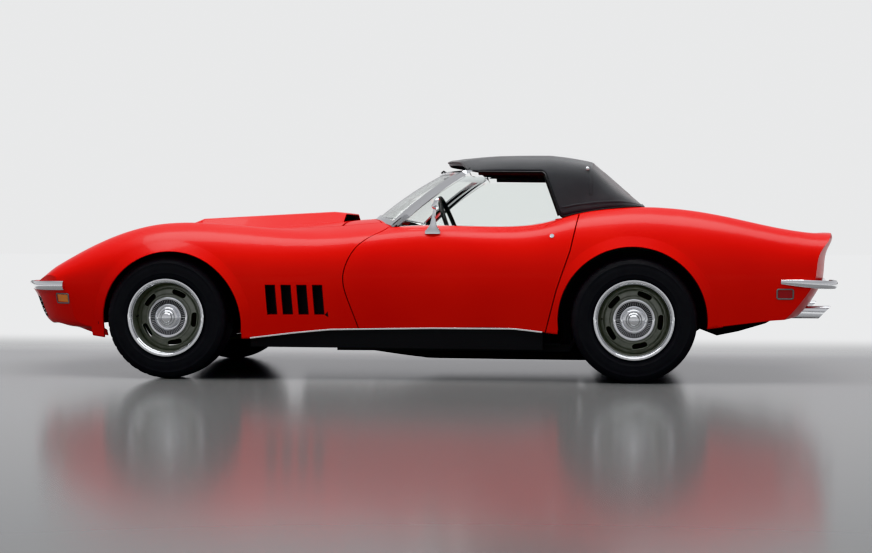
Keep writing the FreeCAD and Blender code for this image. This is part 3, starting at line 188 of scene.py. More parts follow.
leather = material("black_vinyl", (0.016, 0.016, 0.017), 0.46)
mottled(leather, 9, (0.012, 0.012, 0.013), (0.022, 0.022, 0.023))
grained(leather, 320, 0.35, 0.0006)

plastic = material("black_plastic", (0.012, 0.012, 0.012), 0.55)
worn(plastic, 200, 0.45, 0.65)
grained(plastic, 400, 0.2, 0.0004)

amber = material("amber_lens", (0.80, 0.24, 0.03), 0.15, coat_weight=1.0)
worn(amber, 50, 0.1, 0.25)

red_lens = material("red_lens", (0.30, 0.008, 0.010), 0.15, coat_weight=1.0)
worn(red_lens, 50, 0.1, 0.25)

bezel_grey = material("bezel_grey", (0.20, 0.20, 0.20), 0.4, 0.3)
worn(bezel_grey, 90, 0.3, 0.5)

# A slot of the record takes the look of its own name, but for these three
SLOT_LOOKS = {**MADE, "body_paint": paint, "steel": bright_trim, "tyre": rubber}
for entry in frame["record"]["subparts"]:
    looks = nodes[entry["node"]].data.materials
    looks.clear()
    looks.append(SLOT_LOOKS[entry["material_slot"]])


# Shapes

JOIN_DISTANCE = 1e-6
CUT_CREASE = 30
LINE_STEPS = 12


def at(x, y, z):
    """A place in millimetres behind the front axle, to the right and up, in the frame's metres."""
    return Vector(((x - FRONT_AXLE) / 1000, y / 1000, z / 1000))


def path_of(route, side=1):
    """The places of a route, for one side of the car."""
    return [at(x, side * y, z) for x, y, z in route]


def behind_axle(point):
    """How many millimetres a point of the frame lies behind the front axle."""
    return point[0] * 1000 + FRONT_AXLE


def clamped(share):
    return min(max(share, 0), 1)


def smooth_faces(mesh, crease=None):
    """Smooth shading, but for edges sharper than the crease."""
    mesh.polygons.foreach_set("use_smooth", [True] * len(mesh.polygons))
    if crease is not None:
        mesh.set_sharp_from_angle(angle=radians(crease))


def mesh_of(name, parts, looks, crease=35):
    """A mesh from parts of (points, faces, look number), joined where they touch and facing outwards."""
    points, faces, kinds = [], [], []
    for part_points, part_faces, kind in parts:
        start = len(points)
        points += [tuple(p) for p in part_points]
        faces += [tuple(start + i for i in face) for face in part_faces]
        kinds += [kind] * len(part_faces)
    mesh = bpy.data.meshes.new(name)
    mesh.from_pydata(points, [], faces)
    for look in looks:
        mesh.materials.append(look)
    mesh.polygons.foreach_set("material_index", kinds)
    work = bmesh.new()
    work.from_mesh(mesh)
    bmesh.ops.remove_doubles(work, verts=work.verts, dist=JOIN_DISTANCE)
    bmesh.ops.recalc_face_normals(work, faces=work.faces)
    work.to_mesh(mesh)
    work.free()
    smooth_faces(mesh, crease)
    return mesh


def placed(name, data):
    """A new object in the scene."""
    made = bpy.data.objects.new(name, data)
    bpy.context.scene.collection.objects.link(made)
    return made


def show(name, mesh, body, stands_for=(), place=(0, 0, 0), turn=0.0):
    """Puts a mesh in the scene as a piece that rides on a body."""
    shown = placed(name, mesh)
    shown.location = place
    shown.rotation_euler = (0, 0, turn)
    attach(shown, body)
    if stands_for:
        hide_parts(*stands_for)
    return shown


def piece(name, parts, looks, stands_for=(), crease=35, body="body"):
    """Shows parts as one piece."""
    return show(name, mesh_of(name, parts, looks, crease), body, stands_for)


def grid(rows, close_rows=False, close_columns=False, caps=False, kind=0):
    """Faces between rows of points, as one part."""
    count, wide = len(rows), len(rows[0])
    points = [p for row in rows for p in row]
    faces = []
    for i in range(count if close_rows else count - 1):
        for j in range(wide if close_columns else wide - 1):
            k, m = (i + 1) % count, (j + 1) % wide
            faces.append((i * wide + j, k * wide + j, k * wide + m, i * wide + m))
    if caps:
        faces.append(tuple(range(wide)))
        faces.append(tuple(range((count - 1) * wide, count * wide)))
    return points, faces, kind


def closed_form(rows):
    """Rings joined into a form with closed ends."""
    return grid(rows, close_columns=True, caps=True)


def moved(part, move):
    """A part with each of its points moved."""
    points, faces, kind = part
    return [move(Vector(p)) for p in points], faces, kind


def lathe(profile, steps=96, closed=True, kind=0, wobble=None):
    """A profile of (outward, radius) in millimetres, turned about the axle.

    wobble(step, index) says how far a point moves outward and in radius."""
    rows = []
    for step in range(steps):
        angle = 2 * pi * step / steps
        row = []
        for index, (out, radius) in enumerate(profile):
            if wobble:
                more_out, more_radius = wobble(step, index)
                out, radius = out + more_out, radius + more_radius
            out, radius = out / 1000, radius / 1000
            row.append((radius * cos(angle), -out, radius * sin(angle)))
        rows.append(row)
    return grid(rows, close_rows=True, close_columns=closed, kind=kind)


def sweep(path, section, ups, closed=False, kind=0, scales=None):
    """A section of (side, up) points carried along a path, with one way up or one for each point."""
    path = [Vector(p) for p in path]
    ups = [Vector(u) for u in ups] if hasattr(ups[0], "__len__") else [Vector(ups)] * len(path)
    rows = []
    for i, place in enumerate(path):
        before = path[i - 1] if i or closed else path[0]
        after = path[(i + 1) % len(path)] if closed or i + 1 < len(path) else path[i]
        run = (after - before).normalized()
        side = run.cross(ups[i]).normalized()
        up = side.cross(run)
        scale = scales[i] if scales else 1.0
        rows.append([place + side * a * scale + up * b * scale for a, b in section])
    return grid(rows, close_rows=closed, close_columns=True, caps=not closed, kind=kind)


def oval(half_side, half_up, steps=12, power=1.0):
    """A section from round, at power 1, to nearly square, below it."""
    line = []
    for i in range(steps):
        angle = 2 * pi * (i + 0.5) / steps
        c, s = cos(angle), sin(angle)
        side, up = copysign(abs(c) ** power, c), copysign(abs(s) ** power, s)
        line.append((half_side * side, half_up * up))
    return line


def oval_rings(size, rings, lean=0):
    """A closed form of ovals, each given as (x, y, z, share of the size).

    lean says how many millimetres a ring goes back over a metre of its height."""
    rows = []
    for x, y, z, share in rings:
        rows.append([at(x + up * lean, y + out * 1000 * share, z + up * 1000 * share)
                     for out, up in oval(*size)])
    return closed_form(rows)


def smooth_line(points, count):
    """Points spread evenly along a smooth line through the given ones."""
    given = [Vector(p) for p in points]
    line = []
    for i in range(len(given) - 1):
        p0, p1, p2 = given[max(i - 1, 0)], given[i], given[i + 1]
        p3 = given[min(i + 2, len(given) - 1)]
        for j in range(LINE_STEPS):
            t = j / LINE_STEPS
            line.append(0.5 * ((2 * p1) + (p2 - p0) * t + (2 * p0 - 5 * p1 + 4 * p2 - p3) * t ** 2
                               + (3 * p1 - p0 - 3 * p2 + p3) * t ** 3))
    line.append(given[-1])
    reach = np.concatenate([[0], np.cumsum([(b - a).length for a, b in zip(line, line[1:])])])
    flat = np.array([list(p) for p in line])
    wanted = np.linspace(0, reach[-1], count)
    return [Vector([np.interp(w, reach, flat[:, k]) for k in range(flat.shape[1])]) for w in wanted]


def cut_mesh(name, base, tool):
    """The base mesh less the tool mesh."""
    made = [placed(name, mesh) for mesh in (base, tool)]
    step = made[0].modifiers.new("cut", "BOOLEAN")
    step.operation = "DIFFERENCE"
    step.solver = "EXACT"
    step.object = made[1]
    ready = made[0].evaluated_get(bpy.context.evaluated_depsgraph_get())
    result = bpy.data.meshes.new_from_object(ready)
    for other in made:
        bpy.data.objects.remove(other)
    smooth_faces(result, CUT_CREASE)
    return result


# Body skins: copies of the solids with nose and tail brought to the photograph's plan,
# the feet of the flares trimmed to the sill and the inside in black

SILL_X = [-1120, -900, -700, -500, -350, 0, 440, 680, 880, 1430, 1860, 2080, 2480, 2880, 3180, 3450]
SILL_Z = [160, 225, 262, 232, 216, 214, 218, 247, 266, 276, 276, 252, 246, 286, 322, 334]
BODY_HALF = 770
NOSE_FROM, NOSE_PULL, NOSE_SIDE_PULL, NOSE_FADE = -640, 14, 400, 260
NOSE_END, NOSE_END_SHIFT, NOSE_CORNER, NOSE_CORNER_WIDE = -740, 90, 560, 140
TAIL_FROM, TAIL_LENGTH, TAIL_RISE = 3310, 267, 1.3
TAIL_DROP, TAIL_BULGE, TAIL_BULGE_HALF, TAIL_CORNER, TAIL_POWER = 32, 100, 700, 45, 2.2
BODY_MIDDLE, LENGTH_SHARE, INSIDE_FACING = 0.5, 0.12, -0.35
GILL_X, GILL_Z, GILL_FACING, GILL_FACE = (528, 872), (346, 514), 0.8, 0.818
HEADER_TOP, HEADER_SLOPE = 1.120, 1.25
SIDE_REACH = 1200
NUDGES = (0.0, 0.0011, -0.0013, 0.0031)


def sill_height(back):
    return float(np.interp(back, SILL_X, SILL_Z))


def reshaped(point):
    """Where a point of the solids lies in the photograph's plan."""
    back, out = behind_axle(point), abs(point.y) * 1000
    share = out / BODY_HALF
    if back < NOSE_FROM:
        pull = NOSE_PULL + NOSE_SIDE_PULL * max(share ** 2 - share ** 3, 0.0)
        end = NOSE_END + NOSE_END_SHIFT * clamped((out - NOSE_CORNER) / NOSE_CORNER_WIDE)
        back += pull * clamped((end - back) / NOSE_FADE)
    if back > TAIL_FROM:
        bulge = TAIL_BULGE * (out / TAIL_BULGE_HALF) ** TAIL_POWER
        drop = TAIL_DROP - bulge + TAIL_CORNER * share ** TAIL_POWER
        back -= drop * ((back - TAIL_FROM) / TAIL_LENGTH) ** TAIL_RISE
    return (back - FRONT_AXLE) / 1000, point.y, max(point.z, sill_height(back) / 1000)


def below_header(point):
    """Slides what stands above the header back down the slope of the pillar."""
    rise = max(point.z - HEADER_TOP, 0)
    return point.x - HEADER_SLOPE * rise, point.y, point.z - rise


def moved_copy(node_name, move):
    """A copy of a node's mesh with each of its points moved."""
    mesh = nodes[node_name].data.copy()
    for vertex in mesh.vertices:
        vertex.co = move(vertex.co)
    mesh.update()
    return mesh


def in_gill(face):
    """Whether a face belongs to the walls or floor of a gill."""
    back, up = behind_axle(face.center), face.center.z * 1000
    sideways = face.normal.y * copysign(1, face.center.y)
    sunk = sideways < GILL_FACING or abs(face.center.y) < GILL_FACE
    return GILL_X[0] < back < GILL_X[1] and GILL_Z[0] < up < GILL_Z[1] and sunk


def skin(node_name, move):
    """A copy of a panel with its inside and its gills in black."""
    mesh = moved_copy(node_name, move)
    mesh.materials.append(black_paint)
    for face in mesh.polygons:
        middle = face.center
        outward = Vector((middle.x * LENGTH_SHARE, middle.y, middle.z - BODY_MIDDLE)).normalized()
        if face.normal.dot(outward) < INSIDE_FACING or in_gill(face):
            face.material_index = 1
    return mesh


def skin_tree_of(piece_names):
    """A search tree over the faces of several pieces."""
    points, faces = [], []
    for name in piece_names:
        mesh = bpy.data.objects[name].data
        start = len(points)
        points += [v.co.copy() for v in mesh.vertices]
        faces += [[start + i for i in face.vertices] for face in mesh.polygons]
    return BVHTree.FromPolygons(points, faces)


def met(start, way):
    """Where a ray meets the skin. A ray between two faces is tried again beside them."""
    for nudge in NUDGES:
        beside = Vector((nudge, nudge * way.z, nudge * (1 - abs(way.z))))
        hit, normal, _, _ = skin_tree.ray_cast(start + beside, way)
        if hit is not None:
            return hit, normal if normal.dot(way) < 0 else -normal
    raise RuntimeError(f"nothing is met from {tuple(start)}")


def on_side(x, z, side, lift=0.0):
    """A point on the painted side at a place in millimetres, lifted off it, and the way out there."""
    hit, normal = met(at(x, side * SIDE_REACH, z), Vector((0, -side, 0)))
    return hit + normal * lift / 1000, normal


for node_name in ("front_end", "rear_body"):
    show(f"{node_name}_skin", skin(node_name, reshaped), "body", [node_name])
for node_name in ("hood", "door_left", "door_right"):
    show(f"{node_name}_skin", skin(node_name, tuple), node_name, [node_name])
for node_name, slot in (("grille", "black_plastic"), ("red_lamps", "red_lens")):
    show(f"{node_name}_set", moved_copy(node_name, reshaped), "body", [node_name])
show("windscreen_surround", moved_copy("windscreen_frame", below_header), "body",
     ["windscreen_frame"])
skin_tree = skin_tree_of(["front_end_skin", "rear_body_skin", "hood_skin", "door_left_skin",
                          "door_right_skin"])


# Wheels: all four share one set of meshes, turned about for the right side.
# A profile's points are (outward, radius) from the wheel's middle plane

SIDEWALL = [(90.5, 203), (100, 206.2), (105.2, 214), (107.4, 221), (108.6, 222.5), (109.2, 225),
            (110.6, 236), (111.6, 237.5), (111.2, 240), (112.4, 256), (112, 276), (110, 290),
            (110.6, 291.5), (109.6, 294), (106, 304)]
SHOULDER = [(102, 311), (98.5, 316), (95.5, 319.5), (92.5, 322.8), (88, 324.8), (69, 326.2)]
BEAD = [(-90.5, 208.5), (0, 212), (90.5, 208.5)]
TREAD_STEPS, TREAD_PITCH = 216, 6
TREAD_RADIUS, TREAD_DROP, TREAD_HALF = 328, 2.4, 86
GROOVES = (62, 31, 0, -31, -62)
GROOVE_HALF, GROOVE_DEPTH, ZIGZAG, SIPE_DEPTH = 3, 7, 2.2, 3.2
GROOVE_EDGES = ((1.15, 0), (0.75, GROOVE_DEPTH), (-0.75, GROOVE_DEPTH), (-1.15, 0))

SLOT_COUNT, FIRST_SLOT, SLOT_STEPS = 5, 66.5, 24
SLOT_TURNS = [FIRST_SLOT - 360 / SLOT_COUNT * k for k in range(SLOT_COUNT)]
SLOT_RADIUS, SLOT_LENGTH, SLOT_HEIGHT, SLOT_CUT = 0.138, 0.078, 0.027, (0.0, 0.09)
LIP_HALF_STEPS, LIP_STEP, LIP_RADIUS, LIP_OUT, LIP_RISE = 6, 2.9, 0.1552, 0.0395, 0.0030
LIP_SECTION, LIP_END = (0.0042, 0.0034, 8), 0.35
SPIDER = [(30, 177.5), (33.5, 170), (34.5, 160), (40, 154.5), (42, 148), (45, 130), (48, 123.5),
          (50, 122), (50.2, 116), (48, 114), (48, 60), (43, 60), (43, 118), (39, 132), (34, 152),
          (28, 162), (26, 177.5)]
BARREL = [(110.5, 209.5), (112.8, 205), (109, 198.5), (100, 195.5), (90, 190), (78, 185), (60, 180.5),
          (30, 178.5), (-85, 179), (-100, 190), (-109, 203), (-111, 207.5), (-108, 208.5), (-104, 204),
          (-96, 196), (-82, 183), (30, 181.2), (60, 184), (80, 190), (94, 198.5), (104, 203),
          (108, 208.5)]
TRIM_RING = [(108.5, 210), (114, 208.4), (115.2, 205), (114.8, 200), (113, 195.5), (109, 192),
             (102, 190.5), (97.5, 190), (98.5, 188.8), (97.2, 187.6), (95, 188), (95, 190.5),
             (99, 193.5), (107, 198.5), (109, 206)]
CAP_SKIRT = [(49, 109), (64, 109.2), (69, 107.5), (71.5, 103.5), (71.2, 99), (69, 95.5), (64, 94.8),
             (62, 96), (49, 106)]
CAP_BASE = [(60, 96.2), (61, 95), (55.5, 71.5), (50, 71.5), (50, 96.2)]
CAP_DOME = [(50, 73), (59, 72.4), (64, 70.8), (65.5, 68.5), (64, 66.4), (58, 65.2), (57, 59),
            (60, 56.5), (69, 55.6), (76, 53.5), (80, 49), (81.5, 43), (87, 40.5), (92, 36), (94.5, 31),
            (100, 29), (106, 23.5), (109.5, 16), (111, 8), (111.4, 0)]
BRAKE_DISC = [(12, 50), (12, 150), (4, 150.5), (3.5, 130), (-1.5, 130), (-2, 150.5), (-10, 150),
              (-10, 50)]
VALVE_STEM = [(60, 3.8), (75, 3.8), (76, 4.6), (88, 4.6), (89, 0), (60, 0)]
VALVE_PLACE = Vector((-0.1655, 0, 0.006))
FIN_COUNT, FIN_TOP_SHARE = 56, 0.5
FIN_PROFILE = [(0.0722, 0.0540, 0.0625, 0.0017), (0.083, 0.0570, 0.0655, 0.0021),
               (0.0945, 0.0600, 0.0690, 0.0024)]


def groove_points():
    """The crown's profile across its grooves."""
    points = []
    for groove in GROOVES:
        for edge, depth in GROOVE_EDGES:
            out = groove + edge * GROOVE_HALF
            points.append((out, TREAD_RADIUS - TREAD_DROP * (out / TREAD_HALF) ** 2 - depth))
    return points


def tyre_mesh():
    """A tyre with zigzag grooves, shoulder sipes and raised rings on its wall."""
    half = [(point, "wall") for point in SIDEWALL] + [(point, "shoulder") for point in SHOULDER]
    line = half + [(point, "groove") for point in groove_points()]
    line += [((-out, radius), part) for (out, radius), part in reversed(half)]
    line += [(point, "wall") for point in BEAD]
    places = [part for _, part in line]

    def wobble(step, index):
        if places[index] == "groove":
            swing = abs(step % TREAD_PITCH - TREAD_PITCH / 2) / (TREAD_PITCH / 4)
            return ZIGZAG * (1 - swing), 0.0
        if places[index] == "shoulder" and step % TREAD_PITCH == 0:
            return 0.0, -SIPE_DEPTH
        return 0.0, 0.0

    turned = lathe([point for point, _ in line], TREAD_STEPS, wobble=wobble)
    return mesh_of("tyre", [turned], [rubber], crease=50)


def wheel_slot(turn):
    """A prism with round ends that cuts a slot at a turn in degrees."""
    c, s = cos(radians(turn)), sin(radians(turn))
    rows = []
    for out in SLOT_CUT:
        row = []
        for i in range(SLOT_STEPS):
            angle = 2 * pi * i / SLOT_STEPS
            end = copysign((SLOT_LENGTH - SLOT_HEIGHT) / 2, cos(angle))
            across = end + SLOT_HEIGHT / 2 * cos(angle)
            radial = SLOT_RADIUS + SLOT_HEIGHT / 2 * sin(angle)
            row.append((radial * c - across * s, -out, radial * s + across * c))
        rows.append(row)
    return closed_form(rows)


def spider_mesh():
    """The wheel's centre with its slots cut through."""
    base = mesh_of("spider", [lathe(SPIDER, steps=144)], [rim_silver])
    slots = mesh_of("slots", [wheel_slot(turn) for turn in SLOT_TURNS], [rim_silver])
    return cut_mesh("spider_cut", base, slots)


def slot_lip(turn):
    """A raised bead along the outer edge of a slot, fading at its ends."""
    path, scales = [], []
    for i in range(2 * LIP_HALF_STEPS + 1):
        angle = radians(turn + (i - LIP_HALF_STEPS) * LIP_STEP)
        out = LIP_OUT + LIP_RISE * (1 - ((i - LIP_HALF_STEPS) / LIP_HALF_STEPS) ** 2)
        path.append(Vector((LIP_RADIUS * cos(angle), -out, LIP_RADIUS * sin(angle))))
        scales.append(LIP_END + (1 - LIP_END) * sin(pi * i / (2 * LIP_HALF_STEPS)) ** 0.5)
    return sweep(path, oval(*LIP_SECTION), (0, -1, 0), scales=scales)


def barrel_mesh():
    lips = [slot_lip(turn) for turn in SLOT_TURNS]
    return mesh_of("barrel", [lathe(BARREL, steps=120)] + lips, [rim_silver])


def cap_fin(turn):
    """A bright radial fin that dishes in from the cap's outer ring."""
    along = Vector((cos(turn), 0, sin(turn)))
    across = Vector((-sin(turn), 0, cos(turn)))
    rows = []
    for radius, base, top, half in FIN_PROFILE:
        middle, low, high = along * radius, Vector((0, -base, 0)), Vector((0, -top, 0))
        wide, narrow = across * half, across * half * FIN_TOP_SHARE
        rows.append([middle + wide + low, middle + narrow + high,
                     middle - narrow + high, middle - wide + low])
    return closed_form(rows)


def bright_mesh():
    """The trim ring and the finned cap."""
    turned = [lathe(TRIM_RING, steps=144), lathe(CAP_SKIRT), lathe(CAP_BASE, kind=1),
              lathe(CAP_DOME, steps=72, closed=False)]
    fins = [cap_fin(2 * pi * k / FIN_COUNT) for k in range(FIN_COUNT)]
    return mesh_of("bright_ring", turned + fins, [chrome, plastic], crease=30)


def valve_mesh():
    stem = moved(lathe(VALVE_STEM, steps=12, closed=False), lambda p: p + VALVE_PLACE)
    return mesh_of("valve", [stem], [plastic])


# Each as (name, mesh, slot, the node it stands for)
WHEEL_PIECES = [
    ("tread", tyre_mesh(), "tyre", "tyre"),
    ("spider", spider_mesh(), "rim_silver", "rim"),
    ("barrel", barrel_mesh(), "rim_silver", None),
    ("bright", bright_mesh(), "chrome", "wheel_trim"),
    ("disc", mesh_of("brake_disc", [lathe(BRAKE_DISC, steps=72)], [iron]), "black_iron", None),
    ("valve", valve_mesh(), "black_plastic", None)]
for end in ("front", "rear"):
    for word, side in SIDES.items():
        corner = f"{end}_{word}"
        low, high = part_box(f"tyre_{corner}")
        for name, mesh, slot, node_name in WHEEL_PIECES:
            stands_for = [f"{node_name}_{corner}"] if node_name else []
            show(f"{name}_{corner}", mesh, f"wheel_{corner}", stands_for,
                 place=(low + high) / 2, turn=0.0 if side < 0 else pi)


# Wheel houses: black liners inside the fenders, each as (x, z, radius, outer face, inner wall)

HOUSES = [(8, 346, 402, 800, 440), (2484, 352, 398, 806, 600)]
HOUSE_WALL, HOUSE_OPENING = 3, 150
HOUSE_START, HOUSE_TURN, HOUSE_STEPS = -8, 196, 40


def liner(x, z, radius, outer, inner, side):
    """A half drum over the wheel and its inner wall, with the axle's opening."""
    rows = []
    for depth, reach in ((outer, radius - HOUSE_WALL), (outer, radius), (inner, radius + HOUSE_WALL),
                         (inner, HOUSE_OPENING), (inner + HOUSE_WALL, HOUSE_OPENING),
                         (inner + HOUSE_WALL, radius - 1)):
        row = []
        for i in range(HOUSE_STEPS + 1):
            angle = radians(HOUSE_START + HOUSE_TURN * i / HOUSE_STEPS)
            row.append(at(x + reach * cos(angle), side * depth, z + reach * sin(angle)))
        rows.append(row)
    return grid(rows, close_rows=True)


liners = [liner(*house, side) for house in HOUSES for side in (-1, 1)]
piece("wheel_house_liners", liners, [black_paint])


# Bumpers: rounded chrome blades on short black arms. A blade's places are (x, y, z, height)

FRONT_BLADE = [(-590, 803, 496, 54), (-668, 768, 495, 54), (-740, 712, 494, 52), (-815, 612, 493, 48),
               (-908, 405, 490, 42), (-988, 200, 488, 38), (-1036, 80, 487, 36), (-1050, 0, 487, 36)]
REAR_BLADE = [(3240, 822, 528, 22), (3290, 827, 525, 32), (3350, 826, 521, 40), (3420, 804, 516, 44),
              (3490, 752, 512, 44), (3542, 650, 509, 44), (3568, 480, 506, 44), (3578, 300, 505, 44),
              (3576, 165, 505, 40)]
# The section's points are (outward, up) as shares of the blade's height
BLADE_SECTION = [(-0.30, 0.50), (-0.14, 0.46), (-0.05, 0.34), (0.0, 0.14), (0.0, -0.10), (-0.05, -0.30),
                 (-0.20, -0.46), (-0.40, -0.50), (-0.50, -0.46), (-0.52, 0.0), (-0.50, 0.46)]
FRONT_ARM = [(-840, 500, 490), (-740, 470, 470)]
REAR_ARM = [(3558, 420, 506), (3440, 420, 500)]
ARM_SECTION = (0.012, 0.018, 8)
FRONT_POINTS, REAR_POINTS = 121, 61


def blade(places, count):
    """A bumper blade through places, with its face on the path."""
    line = smooth_line(places, count)
    path = [at(p[0], p[1], p[2]) for p in line]
    return sweep(path, BLADE_SECTION, UP, scales=[p[3] / 1000 for p in line])


def arms(places):
    """A pair of short arms from the blade into the body."""
    return [sweep(path_of(places, side), oval(*ARM_SECTION), UP, kind=1) for side in (-1, 1)]


across_front = FRONT_BLADE[:-1] + [(x, -y, z, h) for x, y, z, h in reversed(FRONT_BLADE)]
piece("front_bumper_blade", [blade(across_front, FRONT_POINTS)] + arms(FRONT_ARM), [chrome, iron],
      ["front_bumper"])
right_blade = blade(REAR_BLADE[::-1], REAR_POINTS)
left_blade = moved(right_blade, lambda p: Vector((p.x, -p.y, p.z)))
piece("rear_bumper_blades", [right_blade, left_blade] + arms(REAR_ARM), [chrome, iron],
      ["rear_bumpers"])


# Soft top: one sheet drawn over its bows, with its seams, seals and rear window frame.
# Heights and half widths are given at stations from the header to the tuck behind

TOP_X = [1440, 1480, 1620, 1729, 1880, 2035, 2131, 2200, 2262, 2300, 2360, 2451, 2538]
TOP_CROWN = [1182, 1192, 1203, 1209, 1211, 1210, 1199, 1186, 1172, 1140, 1087, 1007, 932]
TOP_EDGE = [1160, 1170, 1185, 1192, 1194, 1193, 1182, 1168, 1153, 1120, 1068, 991, 924]
TOP_RAIL = [1092, 1102, 1122, 1128, 1131, 1132, 1126, 1118, 1104, 1080, 1032, 968, 917]
TOP_RAIL_HALF = [606, 612, 620, 623, 624, 624, 622, 620, 617, 622, 630, 644, 654]
TOP_LOW_X = [1440, 2004, 2024, 2104, 2116, 2180, 2305, 2420, 2534, 2600]
TOP_LOW = [1114, 1110, 1092, 874, 868, 884, 904, 914, 918, 918]
STATION_EASE, STATION_SAMPLES = 14, 9
CROWN_HALF, CROWN_DIP, INNER_HALF, INNER_DIP, EDGE_HALF = 430, 9, 250, 2, 505
SKIRT_OUT, SKIRT_DROP, SKIRT_TOP, SKIRT_END, HEM_FLARE = 50, 60, 960, (0, 700, 800), 0.1
HEADER_SWEEP, HEADER_HALF, HEADER_FADE = 165, 572, 420
WINDOW_LOW, WINDOW_HIGH, WINDOW_HALF = 2322, 2464, 370
INNER_COLUMNS, OUTER_COLUMNS, HALF_SAMPLES = 12, 22, 160
TOP_SPACING = [(1440, 2000, 20), (2000, 2122, 6), (2126, 2240, 12), (2240, 2300, 7), (2304, 2314, 9)]
TOP_STATIONS = [x for spacing in TOP_SPACING for x in np.arange(*spacing)]
TOP_STATIONS += list(np.linspace(WINDOW_LOW, WINDOW_HIGH, 10)) + list(np.arange(2476, 2541, 12))
# The header's lip as (back, up) and the tuck behind as (back, share of the drop to the deck), in metres
FRONT_LIP = [(0.006, -0.026), (-0.001, -0.016), (-0.003, -0.006)]
REAR_TUCK = [(0.006, 0.3), (0.008, 0.65), (0.008, 1.0)]
DECK_Y, DECK_Z = [0, 0.43, 0.56, 0.62, 0.66], [0.878, 0.876, 0.884, 0.900, 0.914]
PUCKER, PUCKER_MORE, PUCKER_FROM, PUCKER_FADE = 0.0012, 0.0022, 1980, 160
PUCKER_OUT, PUCKER_UP = 0.6, 0.8
# How fast the folds change along x, y and z, with the slant between x and z
FOLDS, FOLD_SLANTS = (3.2, 2.0, 2.2), (4.5, -2.0)
CLOTH_THICK, FLAT_WIDTH, FLAT_FILLED = 0.0025, 1.62, 0.9
FIRST_ROW = len(FRONT_LIP)
SEAM_COLUMN, REAR_BOW, QUARTER_FRONT, TOP_END = 21, 2262, 2110, 2540
WELT_STEPS, WELT_POWER, WITHIN_HEIGHT = 10, 0.7, 0.75
# Half width and height of each welt
CROWN_WELT, BOW_WELT, HEADER_WELT = (0.007, 0.0014), (0.010, 0.0022), (0.010, 0.0030)
HEM_WELT, QUARTER_WELT = (0.009, 0.0028), (0.006, 0.0016)
# The columns where the bow's, the header's and the quarters' welts start from either edge
BOW_EDGE, HEADER_EDGE, QUARTER_EDGE = 4, 2, 2
DOOR_SEAL, HEM_SEAL, DOOR_SEAL_POINTS = (0.007, 0.012, 10, 0.7), (0.004, 0.007, 8, 0.8), 70
DOOR_SEAL_X, QUARTER_SEAL_X, HEM_SEAL_X = (1500, 2004), (2010, 2106), (2104, TOP_END)
SEAL_IN, DOOR_SEAL_DOWN, QUARTER_SEAL_FORWARD, HEM_SEAL_DOWN, SEAL_LEAN = 0.004, 0.010, 0.008, 0.001, 0.5
BINDING_ROUND, BINDING_IN, BINDING_UP, BINDING_SLOPE = 34, 4, 0.5, (0.62, 0, 0.78)
BINDING_SECTION, BINDING_STEPS = (0.011, 0.0025, 10, 0.7), 6
STUD_X, STUD_Z = 2241, 1124
STUD = [(0, 11), (2, 11), (3, 6), (6, 5.5), (9, 8.5), (13, 9.5), (17, 8.5), (20, 5), (21, 0)]


def drawn(x, heights):
    """A height between the top's stations, straight but with its corners eased."""
    spread = np.linspace(-STATION_EASE, STATION_EASE, STATION_SAMPLES)
    return float(np.mean(np.interp(x + spread, TOP_X, heights)))


def top_half(x):
    """Points of the sheet's half from the middle to its lower edge, as (y, z)."""
    crown, edge = drawn(x, TOP_CROWN), drawn(x, TOP_EDGE)
    rail, half = drawn(x, TOP_RAIL), drawn(x, TOP_RAIL_HALF)
    low = float(np.interp(x, TOP_LOW_X, TOP_LOW))
    bows = [(0, 0, crown), (0, INNER_HALF, crown - INNER_DIP), (0, CROWN_HALF, crown - CROWN_DIP),
            (0, EDGE_HALF, edge), (0, half, rail), (0, half + SKIRT_OUT, min(SKIRT_TOP, rail - SKIRT_DROP)),
            SKIRT_END]
    line = smooth_line(bows, HALF_SAMPLES)
    inner = [p for p in line if p.y <= WINDOW_HALF]
    outer = [p for p in line if p.y > WINDOW_HALF and p.z >= low]
    reach = np.array([p.y for p in outer] + [outer[-1].y])
    rise = np.array([p.z for p in outer] + [low])
    reach[-1] += (outer[-1].z - low) * HEM_FLARE
    way = np.concatenate([[0], np.cumsum(np.hypot(np.diff(reach), np.diff(rise)))])
    half_line = []
    for y in np.linspace(0, WINDOW_HALF, INNER_COLUMNS, endpoint=False):
        half_line.append((y, float(np.interp(y, [p.y for p in inner], [p.z for p in inner]))))
    for s in np.linspace(0, way[-1], OUTER_COLUMNS):
        half_line.append((float(np.interp(s, way, reach)), float(np.interp(s, way, rise))))
    return half_line


def swept(x, y):
    """The header's sweep carried into the front of the sheet."""
    return x + HEADER_SWEEP * (y / HEADER_HALF) ** 2 * max(1 - (x - TOP_X[0]) / HEADER_FADE, 0)


def puckered(point):
    """Soft irregularity of drawn cloth, more in the rear quarters."""
    strength = PUCKER + PUCKER_MORE * clamped((behind_axle(point) - PUCKER_FROM) / PUCKER_FADE)
    spot = Vector((point.x * FOLDS[0] + point.z * FOLD_SLANTS[0], point.y * FOLDS[1],
                   point.z * FOLDS[2] + point.x * FOLD_SLANTS[1]))
    out = Vector((0, copysign(PUCKER_OUT, point.y), PUCKER_UP))
    return point + out * strength * noise.noise(spot)


